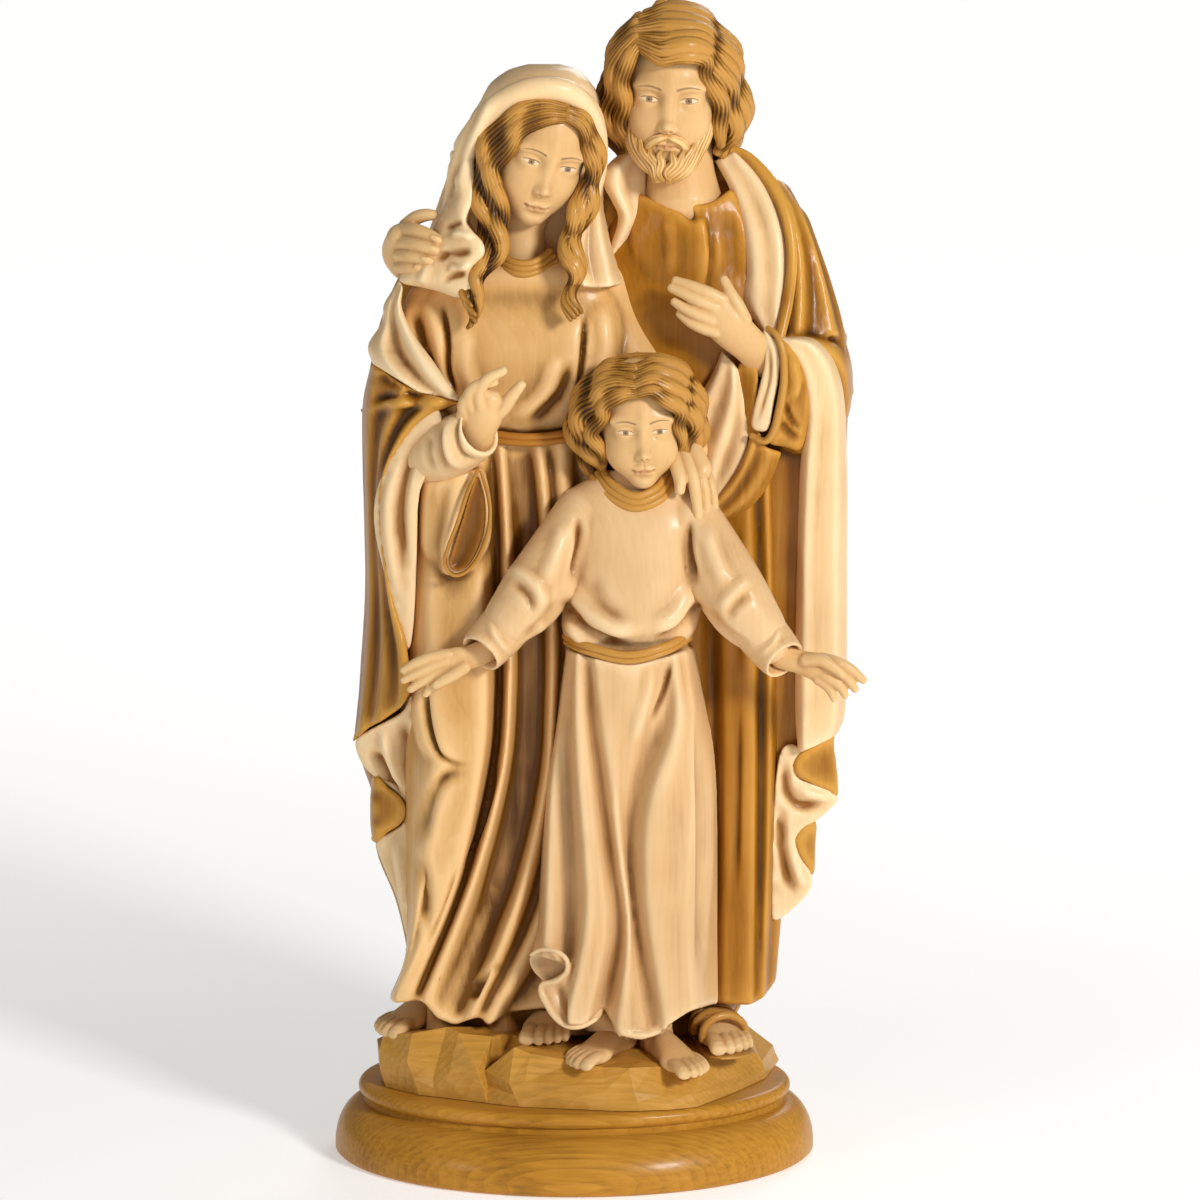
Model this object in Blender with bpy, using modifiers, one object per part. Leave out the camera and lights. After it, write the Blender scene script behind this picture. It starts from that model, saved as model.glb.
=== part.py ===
"""Holy family statue: a carved wood group of mother, father and child on a turned oval plinth.

Run with: blender --background --python part.py
Metres, +Z up, front toward -Y. The plinth stands on z = 0.
"""

import math

import bmesh
import bpy
import numpy as np
from mathutils import Matrix, Vector

# Driving dimensions
STATUE_HEIGHT = 0.600  # floor to the top of the father's hair
PLINTH_WIDTH = 0.2525  # across the foot of the oval plinth
PLINTH_DEPTH = 0.198  # front to back at the foot
PLINTH_HEIGHT = 0.038
BEAD_HEIGHT = 0.008  # the round bead at the rim
BEAD_WIDTH = 0.2277
BEAD_DEPTH = 0.162
GROOVE_DEPTH = 0.003  # how far the groove under the bead is cut in
GROOVE_HEIGHT = 0.003
GLUE_GAP = 0.0003  # between the group's underside and the plinth
ROCK_INSET = 0.0135  # the rocks stay this far inside the bead's outline
VOXEL = 0.0021  # how finely the carved surface is divided
GROUP_TRIANGLES = 8400
FOOT_EDGE = 0.004  # upright edge at the plinth's foot, under the flaring skirt

# The front drawing. The figures are drawn on a sheet 1200 units each way, x to the right and y down,
# as an eye at EYE sees them. Depths are in the same units from the plinth's centre plane, toward the
# eye. Every drawn size is a share of the statue's own height.
SHEET = 1200.0
DRAWN_HEIGHT = 1154.0  # the statue's height on the sheet
UNIT = STATUE_HEIGHT / DRAWN_HEIGHT
EYE = np.array((26.0, -4390.0, 1233.0)) * UNIT
TILT = math.radians(8.7)
FOCAL = 4446.0
EYE_FORWARD = np.array((0.0, math.cos(TILT), -math.sin(TILT)))
EYE_RIGHT = np.array((1.0, 0.0, 0.0))
EYE_UP = np.array((0.0, math.sin(TILT), math.cos(TILT)))

# The mound of rocks, ring by ring from below: share of its outline, height above the plinth
ROCK_RINGS = ((1.0, -0.004), (1.0, 0.006), (0.985, 0.0125), (0.93, 0.0150), (0.6, 0.020), (0.25, 0.022))
ROCK_BREAKS = 0.003  # how far the broken faces rise and fall
ROCK_NOTCH = 0.05  # share of the outline that the breaks take away

LIMEWOOD_BROWN = (0.27, 0.13, 0.045, 1.0)
PLINTH_BROWN = (0.22, 0.10, 0.03, 1.0)


def place(drawn):
    """World places of points drawn at (x, y, depth)."""
    drawn = np.asarray(drawn, float)
    across = (drawn[..., 0] - SHEET / 2) / FOCAL
    above = (SHEET / 2 - drawn[..., 1]) / FOCAL
    ray = EYE_FORWARD + across[..., None] * EYE_RIGHT + above[..., None] * EYE_UP
    reach = (-drawn[..., 2] * UNIT - EYE[1]) / ray[..., 1]
    return EYE + reach[..., None] * ray


def draw(points):
    """Where the eye sees world points on the sheet, with their depth."""
    offset = points - EYE
    reach = offset @ EYE_FORWARD
    x = SHEET / 2 + FOCAL * (offset @ EYE_RIGHT) / reach
    y = SHEET / 2 - FOCAL * (offset @ EYE_UP) / reach
    return np.stack((x, y, -points[:, 1] / UNIT), axis=1)


def curve(points, per=6):
    """A smooth path through the given points, of any number of columns."""
    p = np.array(points, float)
    p = np.vstack((2 * p[0] - p[1], p, 2 * p[-1] - p[-2]))
    t = np.linspace(0, 1, per, endpoint=False)[:, None]
    parts = []
    for i in range(1, len(p) - 2):
        a, b, c, d = p[i - 1 : i + 3]
        parts.append(
            0.5
            * (
                2 * b
                + (c - a) * t
                + (2 * a - 5 * b + 4 * c - d) * t**2
                + (3 * b - a - 3 * c + d) * t**3
            )
        )
    parts.append(p[-2:-1])
    return np.vstack(parts)


def mesh_object(name, points, faces):
    mesh = bpy.data.meshes.new(name)
    mesh.from_pydata([tuple(p) for p in points], [], faces)
    mesh.update()
    thing = bpy.data.objects.new(name, mesh)
    shape = bmesh.new()
    shape.from_mesh(mesh)
    bmesh.ops.recalc_face_normals(shape, faces=shape.faces)
    if shape.calc_volume(signed=True) < 0:
        bmesh.ops.reverse_faces(shape, faces=shape.faces)
    shape.to_mesh(mesh)
    shape.free()
    GROUP.objects.link(thing)
    return thing


def loft(name, rings):
    """A closed skin over rings of points, with a fan on each end."""
    rows, around = rings.shape[:2]
    points = np.vstack((rings.reshape(-1, 3), rings[0].mean(0), rings[-1].mean(0)))
    faces = []
    for r in range(rows - 1):
        for k in range(around):
            n = (k + 1) % around
            faces.append((r * around + k, r * around + n, (r + 1) * around + n, (r + 1) * around + k))
    first = rows * around
    last = (rows - 1) * around
    for k in range(around):
        n = (k + 1) % around
        faces.append((n, k, first))
        faces.append((last + k, last + n, first + 1))
    return mesh_object(name, points, faces)


def column(name, rows, around=56, power=0.82):
    """An upright mass. Each row is (y, left x, right x, front depth, back depth)."""
    rows = curve(rows, 5)
    turn = np.linspace(0, 2 * math.pi, around, endpoint=False)
    side = np.sign(np.cos(turn)) * np.abs(np.cos(turn)) ** power
    front = np.sign(np.sin(turn)) * np.abs(np.sin(turn)) ** power
    rings = np.empty((len(rows), around, 3))
    for i, (y, left, right, near, far) in enumerate(rows):
        rings[i, :, 0] = (left + right) / 2 + (right - left) / 2 * side
        rings[i, :, 1] = y
        rings[i, :, 2] = (near + far) / 2 + (near - far) / 2 * front
    return loft(name, place(rings))


def tube(name, points, around=20, flat=1.0, ends=3):
    """A round limb along points of (x, y, depth, radius), its ends rounded off."""
    path = curve(points, 6)
    centre = place(path[:, :3])
    radius = path[:, 3] * UNIT
    along = np.gradient(centre, axis=0)
    along /= np.linalg.norm(along, axis=1)[:, None]
    rings = []
    for i in range(-ends, len(path) + ends):
        j = min(max(i, 0), len(path) - 1)
        past = (i - j) / (ends + 0.35)
        shrink = math.sqrt(max(0.0, 1 - past * past))
        axis = along[j]
        side = np.cross(axis, (0.0, 1.0, 0.15))
        side /= np.linalg.norm(side)
        depth = np.cross(side, axis) * flat
        middle = centre[j] + axis * past * radius[j]
        turn = np.linspace(0, 2 * math.pi, around, endpoint=False)[:, None]
        rings.append(middle + radius[j] * shrink * (side * np.cos(turn) + depth * np.sin(turn)))
    return loft(name, np.array(rings))


def slab(name, outline, thickness):
    """A thick cloth edge: the drawn outline at its own depths, with a back the given depth behind."""
    outline = np.array(outline, float)
    back = outline - (0, 0, thickness)
    points = place(np.vstack((outline, back)))
    count = len(outline)
    faces = [tuple(range(count)), tuple(range(2 * count - 1, count - 1, -1))]
    faces += [(k, k + count, (k + 1) % count + count, (k + 1) % count) for k in range(count)]
    thing = mesh_object(name, points, faces)
    return remeshed(thing, VOXEL, 3)


def remeshed(thing, voxel, smoothing=0, factor=0.5):
    """The object's mesh made even by a voxel remesh, then smoothed."""
    grain = thing.modifiers.new("grain", "REMESH")
    grain.mode = "VOXEL"
    grain.voxel_size = voxel
    if smoothing:
        soften = thing.modifiers.new("soften", "SMOOTH")
        soften.factor = factor
        soften.iterations = smoothing
    return applied(thing)


def applied(thing):
    graph = bpy.context.evaluated_depsgraph_get()
    graph.update()
    mesh = bpy.data.meshes.new_from_object(thing.evaluated_get(graph))
    thing.modifiers.clear()
    thing.data = mesh
    return thing


def joined(name, things):
    """One object holding the meshes of all the things."""
    shape = bmesh.new()
    for thing in things:
        shape.from_mesh(thing.data)
        bpy.data.objects.remove(thing)
    mesh = bpy.data.meshes.new(name)
    shape.to_mesh(mesh)
    shape.free()
    whole = bpy.data.objects.new(name, mesh)
    GROUP.objects.link(whole)
    return whole


def corners(thing):
    points = np.empty(len(thing.data.vertices) * 3)
    thing.data.vertices.foreach_get("co", points)
    return points.reshape(-1, 3)


def move_corners(thing, points):
    thing.data.vertices.foreach_set("co", points.ravel())
    thing.data.update()


def outward(thing):
    normals = np.empty(len(thing.data.vertices) * 3)
    thing.data.vertex_normals.foreach_get("vector", normals)
    return normals.reshape(-1, 3)


def nearest_on_path(xy, path):
    """For each point its distance to the path, its side, and how far along it lies, 0 to 1."""
    start = path[:-1]
    step = path[1:] - start
    length = np.linalg.norm(step, axis=1)
    away = xy[:, None, :] - start[None]
    share = np.clip((away * step).sum(2) / (length**2 + 1e-9), 0, 1)
    gap = away - share[..., None] * step
    distance = np.linalg.norm(gap, axis=2)
    best = distance.argmin(1)
    row = np.arange(len(xy))
    cross = step[best, 0] * away[row, best, 1] - step[best, 1] * away[row, best, 0]
    run = np.concatenate(((0,), np.cumsum(length)))
    along = (run[best] + share[row, best] * length[best]) / run[-1]
    return distance[row, best], np.sign(cross), along


def carve(thing, strokes):
    """Folds cut into the side that the eye sees.

    Each stroke is (kind, half width, depth, points). A valley is cut in, a ridge stands up, and a
    lip stands up on the left of its path, sharp at the path and fading away from it.
    """
    points = corners(thing)
    normals = outward(thing)
    drawn = draw(points)
    to_eye = EYE - points
    to_eye /= np.linalg.norm(to_eye, axis=1)[:, None]
    facing = np.clip(((normals * to_eye).sum(1) + 0.05) / 0.4, 0, 1)
    shift = np.zeros(len(points))
    for kind, half, depth, path in strokes:
        path = curve(path, 5)
        low = path.min(0) - half
        high = path.max(0) + half
        near = np.all((drawn[:, :2] > low) & (drawn[:, :2] < high), axis=1) & (facing > 0)
        if not near.any():
            continue
        distance, side, along = nearest_on_path(drawn[near, :2], path)
        taper = np.clip(np.minimum(along, 1 - along) / 0.14, 0, 1) ** 0.7
        share = np.clip(1 - distance / half, 0, 1)
        if kind == "valley":
            form = -(share**1.4)
        elif kind == "ridge":
            form = np.sin(share * math.pi / 2) ** 1.5
        else:
            rise = np.clip(1 - distance / (0.18 * half), 0, 1) * 0.5
            form = np.where(side < 0, share**0.8, rise)
        shift[near] += form * taper * depth
    move_corners(thing, points + normals * (shift * UNIT * facing)[:, None])
    return thing


def pleats(thing, centre, folds, depth, top, bottom, lean=0.6):
    """Long hanging folds on the sides and the back, which the eye does not see."""
    points = corners(thing)
    normals = outward(thing)
    to_eye = EYE - points
    to_eye /= np.linalg.norm(to_eye, axis=1)[:, None]
    hidden = np.clip((0.12 - (normals * to_eye).sum(1)) / 0.5, 0, 1)
    middle = place((centre[0], 600.0, centre[1]))
    turn = np.arctan2(points[:, 1] - middle[1], points[:, 0] - middle[0])
    rise = np.clip((points[:, 2] / UNIT - bottom) / (top - bottom), 0, 1)
    wander = lean * np.sin(3.1 * rise + 2.0 * turn)
    wave = np.cos(folds * turn + wander * 2) * 0.65 + np.cos(1.7 * folds * turn - wander * 3) * 0.35
    wave = np.sign(wave) * np.abs(wave) ** 0.8
    fade = np.clip((1 - rise) / 0.45, 0, 1) ** 0.7
    level = np.abs(normals[:, 2]) < 0.8
    move_corners(thing, points + normals * (wave * fade * hidden * level * depth * UNIT)[:, None])
    return thing


def blend(a, b, soft):
    """Smooth union of two distance fields."""
    share = np.clip(0.5 + 0.5 * (b - a) / soft, 0, 1)
    return b + (a - b) * share - soft * share * (1 - share)


def egg(p, centre, radii):
    q = (p - np.array(centre)) / np.array(radii)
    reach = np.linalg.norm(q, axis=-1)
    return (reach - 1) * min(radii)


def face_form(p, jaw):
    """Distance field of a plain adult head, one unit from chin to crown, its face toward -Y.

    The proportions are the usual drawing rules: eyes half way up, the nose ending a quarter up,
    the mouth a sixth up. The jaw is half the width of the lower face.
    """
    form = egg(p, (0, 0.06, 0.62), (0.335, 0.41, 0.38))
    form = blend(form, egg(p, (0, -0.10, 0.36), (jaw, 0.255, 0.31)), 0.10)
    form = blend(form, egg(p, (0, -0.235, 0.09), (0.105, 0.095, 0.085)), 0.10)
    mirrored = np.stack((np.abs(p[..., 0]), p[..., 1], p[..., 2]), axis=-1)
    form = blend(form, egg(mirrored, (0.155, -0.215, 0.335), (0.09, 0.085, 0.10)), 0.10)
    form = blend(form, egg(mirrored, (0.12, -0.315, 0.575), (0.13, 0.05, 0.035)), 0.06)
    socket = egg(mirrored, (0.135, -0.375, 0.49), (0.085, 0.065, 0.05))
    form = -blend(-form, socket, 0.05)
    form = blend(form, egg(mirrored, (0.135, -0.245, 0.487), (0.072, 0.075, 0.050)), 0.02)
    form = blend(form, egg(p, (0, -0.355, 0.42), (0.038, 0.055, 0.14)), 0.05)
    form = blend(form, egg(p, (0, -0.405, 0.315), (0.045, 0.052, 0.042)), 0.035)
    form = blend(form, egg(mirrored, (0.047, -0.365, 0.300), (0.032, 0.045, 0.032)), 0.025)
    form = blend(form, egg(p, (0, -0.330, 0.195), (0.095, 0.040, 0.028)), 0.035)
    form = blend(form, egg(p, (0, -0.325, 0.150), (0.075, 0.038, 0.026)), 0.03)
    return form


def head(name, centre, height, lean, turn, nod, jaw=0.245, around=72, rows=60):
    """A head whose middle is drawn at the centre, its height in sheet units, its angles in degrees."""
    share = np.linspace(0, 1, around, endpoint=False)
    azimuth = 2 * math.pi * (share + 0.07 * np.sin(2 * math.pi * share))
    height_share = np.linspace(0, 1, rows + 1)[1:-1]
    rise = math.pi * (height_share + 0.05 * np.sin(2 * math.pi * height_share))
    heading = np.empty((rows - 1, around, 3))
    heading[..., 0] = np.sin(rise)[:, None] * np.sin(azimuth)
    heading[..., 1] = np.sin(rise)[:, None] * -np.cos(azimuth)
    heading[..., 2] = np.cos(rise)[:, None]
    middle = np.array((0.0, 0.0, 0.48))
    near = np.zeros(heading.shape[:2])
    far = np.ones(heading.shape[:2])
    for _ in range(22):
        reach = (near + far) / 2
        inside = face_form(middle + heading * reach[..., None], jaw) < 0
        near = np.where(inside, reach, near)
        far = np.where(inside, far, reach)
    rings = heading * near[..., None]
    spin = (
        Matrix.Rotation(math.radians(lean), 3, "Y")
        @ Matrix.Rotation(math.radians(turn), 3, "Z")
        @ Matrix.Rotation(math.radians(nod), 3, "X")
    )
    rings = rings @ np.array(spin).T * height * UNIT + place(centre)
    return loft(name, rings)


def finger_set(name, paths):
    return [tube(f"{name}_{i}", path, around=10) for i, path in enumerate(paths)]


def mother():
    """The mother, on the left, in a mantle and veil over a long dress."""
    cloak = column(
        "mother_cloak",
        [
            (196, 500, 590, 20, -62),
            (225, 436, 604, 34, -78),
            (262, 408, 620, 42, -88),
            (300, 386, 628, 48, -94),
            (345, 372, 632, 50, -96),
            (404, 366, 634, 44, -96),
            (520, 365, 622, 38, -92),
            (600, 364, 618, 40, -94),
            (680, 359, 616, 46, -96),
            (745, 356, 616, 52, -98),
            (790, 370, 616, 54, -98),
            (840, 376, 614, 52, -96),
            (895, 396, 610, 50, -94),
            (950, 408, 604, 52, -92),
            (1000, 396, 600, 54, -88),
            (1036, 420, 590, 50, -84),
        ],
    )
    dress = column(
        "mother_dress",
        [
            (268, 480, 572, 46, -10),
            (300, 450, 590, 62, -10),
            (350, 442, 590, 72, -10),
            (400, 448, 590, 72, -10),
            (438, 470, 592, 68, -10),
            (520, 424, 600, 72, -10),
            (600, 414, 600, 80, -10),
            (680, 408, 600, 90, -10),
            (760, 404, 600, 98, -10),
            (840, 408, 596, 94, -10),
            (940, 410, 590, 88, -10),
            (1005, 394, 580, 88, -10),
            (1022, 404, 560, 84, -10),
        ],
        power=0.9,
    )
    thigh = tube(
        "mother_leg",
        [(480, 570, 52, 44), (458, 690, 62, 48), (450, 765, 68, 46), (448, 880, 54, 44)],
    )
    sleeve = tube(
        "mother_sleeve",
        [(428, 300, 0, 42), (402, 400, 28, 40), (424, 468, 62, 36), (470, 448, 92, 25)],
    )
    hanging = tube("mother_hanging_sleeve", [(462, 462, 82, 30), (448, 512, 80, 33), (446, 555, 76, 22)])
    flap = slab(
        "mother_flap",
        [
            (399, 280, 40),
            (440, 300, 66),
            (452, 360, 80),
            (466, 400, 92),
            (436, 400, 92),
            (391, 378, 72),
            (372, 362, 56),
            (368, 345, 46),
            (381, 322, 40),
            (384, 302, 36),
        ],
        46,
    )
    fall = slab(
        "mother_fall",
        [
            (372, 500, 40),
            (422, 484, 78),
            (420, 590, 88),
            (412, 691, 92),
            (403, 708, 88),
            (386, 718, 76),
            (358, 738, 56),
            (364, 640, 46),
            (368, 560, 40),
        ],
        60,
    )
    low_fall = slab(
        "mother_low_fall",
        [
            (357, 738, 46),
            (402, 712, 84),
            (409, 760, 90),
            (406, 809, 90),
            (412, 900, 88),
            (412, 950, 84),
            (397, 897, 60),
            (386, 872, 50),
            (374, 842, 46),
            (372, 790, 44),
        ],
        60,
    )
    veil = column(
        "mother_veil",
        [
            (66, 528, 556, 30, 0),
            (72, 510, 572, 40, -20),
            (90, 492, 590, 44, -42),
            (120, 477, 598, 38, -58),
            (157, 458, 604, 30, -64),
            (205, 440, 604, 28, -70),
            (250, 424, 612, 36, -80),
            (285, 404, 620, 44, -86),
        ],
        power=0.95,
    )
    face = head("mother_head", (541, 152, 32), 140, lean=13, turn=16, nod=14)
    neck = tube("mother_neck", [(528, 190, 18, 26), (520, 240, 14, 26), (520, 268, 20, 40)])
    locks = [
        tube(
            "mother_lock_left",
            [
                (500, 140, 66, 16),
                (486, 190, 60, 14),
                (488, 245, 60, 13),
                (474, 285, 64, 10),
                (470, 326, 70, 5),
            ],
        ),
        tube(
            "mother_lock_right",
            [(590, 150, 50, 12), (580, 215, 52, 13), (572, 262, 62, 11), (571, 318, 70, 5)],
        ),
        tube(
            "mother_hair",
            [(496, 150, 62, 12), (520, 112, 74, 12), (560, 102, 72, 12), (592, 130, 58, 10)],
        ),
    ]
    hand = [
        tube("mother_palm", [(478, 446, 96, 15), (484, 420, 104, 20), (492, 404, 108, 18)], flat=0.6),
        *finger_set(
            "mother_finger",
            [
                [(474, 412, 106, 7), (478, 392, 112, 6), (492, 384, 116, 5)],
                [(484, 406, 110, 7), (490, 386, 118, 6), (502, 374, 118, 5)],
                [(496, 406, 110, 7), (504, 392, 118, 6), (519, 386, 118, 5)],
                [(500, 416, 108, 6), (512, 406, 112, 6), (520, 400, 112, 5)],
                [(468, 424, 104, 7), (464, 408, 110, 6), (470, 398, 114, 5)],
            ],
        ),
    ]
    cloak = remeshed(joined("mother_cloak", [cloak, veil, fall, low_fall, flap]), VOXEL, 4)
    pleats(cloak, (495, -20), 9, 9, 900, 80)
    carve(cloak, MOTHER_CLOAK_FOLDS)
    dress = remeshed(joined("mother_dress", [dress, thigh, sleeve, hanging]), VOXEL, 4)
    carve(dress, MOTHER_DRESS_FOLDS)
    shoes = [
        tube("mother_foot_right", [(420, 1004, 60, 18), (402, 1020, 80, 14), (384, 1032, 92, 11)]),
        tube("mother_foot_left", [(536, 1010, 60, 20), (530, 1036, 84, 16)]),
    ]
    return [cloak, dress, face, neck, *locks, *hand, *shoes]


def father():
    """The father, behind on the right, in a long cloak over a robe."""
    robe = column(
        "father_robe",
        [
            (170, 640, 716, 0, -72),
            (190, 606, 780, 8, -96),
            (216, 588, 800, 12, -106),
            (254, 580, 816, 20, -116),
            (300, 580, 828, 26, -120),
            (360, 580, 846, 26, -124),
            (430, 580, 844, 20, -124),
            (560, 580, 842, 16, -124),
            (700, 580, 838, 14, -124),
            (760, 582, 800, 14, -122),
            (860, 586, 788, 14, -118),
            (960, 594, 774, 16, -112),
            (1004, 600, 766, 16, -106),
            (1040, 614, 740, 10, -96),
        ],
    )
    arm = tube(
        "father_arm_left",
        [(786, 236, -44, 40), (812, 330, -20, 42), (806, 400, 20, 42), (770, 386, 52, 40)],
    )
    cuff = tube("father_cuff", [(800, 400, 24, 40), (780, 384, 48, 44), (758, 380, 58, 40)])
    arm_right = tube(
        "father_arm_right",
        [(612, 216, -60, 36), (540, 246, -92, 34), (460, 262, -80, 28), (420, 240, -50, 20)],
    )
    fall = slab(
        "father_fall",
        [
            (778, 338, 44),
            (820, 352, 50),
            (840, 384, 40),
            (846, 450, 26),
            (846, 560, 20),
            (846, 705, 18),
            (838, 734, 18),
            (816, 744, 24),
            (800, 754, 30),
            (792, 700, 36),
            (794, 560, 40),
            (800, 450, 46),
            (792, 380, 50),
        ],
        60,
    )
    hem = slab(
        "father_hem",
        [
            (790, 736, 30),
            (838, 734, 14),
            (836, 800, 10),
            (816, 822, 14),
            (813, 872, 10),
            (800, 902, 14),
            (775, 920, 20),
            (768, 860, 26),
            (778, 800, 30),
        ],
        60,
    )
    sash = slab(
        "father_sash",
        [
            (722, 352, 44),
            (744, 372, 56),
            (734, 428, 60),
            (756, 438, 54),
            (782, 454, 44),
            (764, 482, 44),
            (736, 508, 44),
            (714, 524, 44),
            (700, 500, 44),
            (690, 450, 44),
            (692, 404, 44),
            (708, 378, 44),
        ],
        44,
    )
    collar = tube(
        "father_collar",
        [
            (612, 190, 14, 14),
            (650, 206, 30, 10),
            (694, 222, 36, 9),
            (730, 190, 22, 14),
            (764, 230, 30, 13),
            (778, 330, 46, 12),
        ],
    )
    face = head("father_head", (672, 102, 0), 146, lean=3, turn=-4, nod=8)
    neck = tube("father_neck", [(676, 140, -22, 36), (678, 195, -24, 38)])
    beard = [
        tube(
            "father_beard_left",
            [(640, 124, 36, 12), (652, 152, 50, 15), (672, 166, 56, 11), (676, 176, 56, 4)],
        ),
        tube(
            "father_beard_right",
            [(712, 120, 32, 11), (704, 150, 48, 15), (688, 166, 56, 11), (684, 178, 56, 4)],
        ),
        tube(
            "father_moustache",
            [(652, 138, 56, 5), (668, 132, 62, 6), (682, 132, 62, 6), (698, 138, 56, 5)],
        ),
    ]
    hair = column(
        "father_hair",
        [
            (1, 650, 690, -10, -30),
            (5, 636, 708, 20, -55),
            (20, 622, 722, 34, -72),
            (44, 614, 732, 30, -82),
            (70, 608, 740, 16, -86),
            (100, 606, 748, 8, -88),
            (130, 612, 746, 2, -86),
            (152, 624, 726, -10, -78),
            (172, 636, 712, -20, -64),
        ],
        power=0.95,
    )
    fringe = [
        tube(
            "father_fringe_left",
            [(640, 40, 46, 12), (622, 66, 36, 13), (616, 100, 22, 12), (626, 140, 12, 9)],
        ),
        tube(
            "father_fringe_right",
            [
                (642, 40, 48, 12),
                (676, 48, 54, 12),
                (708, 56, 46, 12),
                (728, 90, 26, 13),
                (734, 130, 8, 11),
            ],
        ),
    ]
    hand = [
        tube(
            "father_palm_left",
            [(756, 352, 54, 16), (736, 332, 58, 19), (716, 314, 60, 20)],
            flat=0.6,
        ),
        *finger_set(
            "father_finger_left",
            [
                [(718, 298, 60, 8), (696, 286, 60, 7), (677, 281, 56, 5)],
                [(712, 306, 62, 8), (690, 296, 60, 7), (672, 289, 56, 5)],
                [(708, 318, 62, 8), (690, 308, 60, 7), (674, 302, 56, 5)],
                [(712, 328, 62, 7), (694, 322, 60, 6), (680, 314, 56, 5)],
                [(734, 316, 62, 8), (730, 296, 62, 7), (724, 280, 58, 5)],
            ],
        ),
        tube("father_palm_right", [(400, 258, 6, 18), (408, 244, 22, 18)], flat=0.8),
        *finger_set(
            "father_finger_right",
            [
                [(404, 228, 26, 7), (424, 232, 46, 7), (437, 240, 50, 5)],
                [(402, 240, 28, 7), (422, 244, 48, 7), (434, 250, 52, 5)],
                [(400, 252, 30, 7), (416, 256, 48, 7), (428, 261, 52, 5)],
                [(398, 264, 32, 7), (410, 266, 46, 6), (418, 268, 50, 5)],
                [(410, 222, 20, 7), (422, 214, 30, 6), (432, 214, 34, 5)],
            ],
        ),
    ]
    robe = remeshed(
        joined("father_robe", [robe, arm, cuff, arm_right, fall, hem, sash, collar]),
        VOXEL,
        4,
    )
    pleats(robe, (690, -50), 9, 9, 900, 80)
    carve(robe, FATHER_FOLDS)
    hair = remeshed(joined("father_hair", [hair, *fringe]), VOXEL, 2)
    carve(hair, FATHER_HAIR_LOCKS)
    foot = tube("father_foot", [(708, 1010, 20, 20), (716, 1034, 50, 17), (724, 1052, 66, 13)])
    return [robe, face, neck, *beard, hair, *hand, foot]


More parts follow.
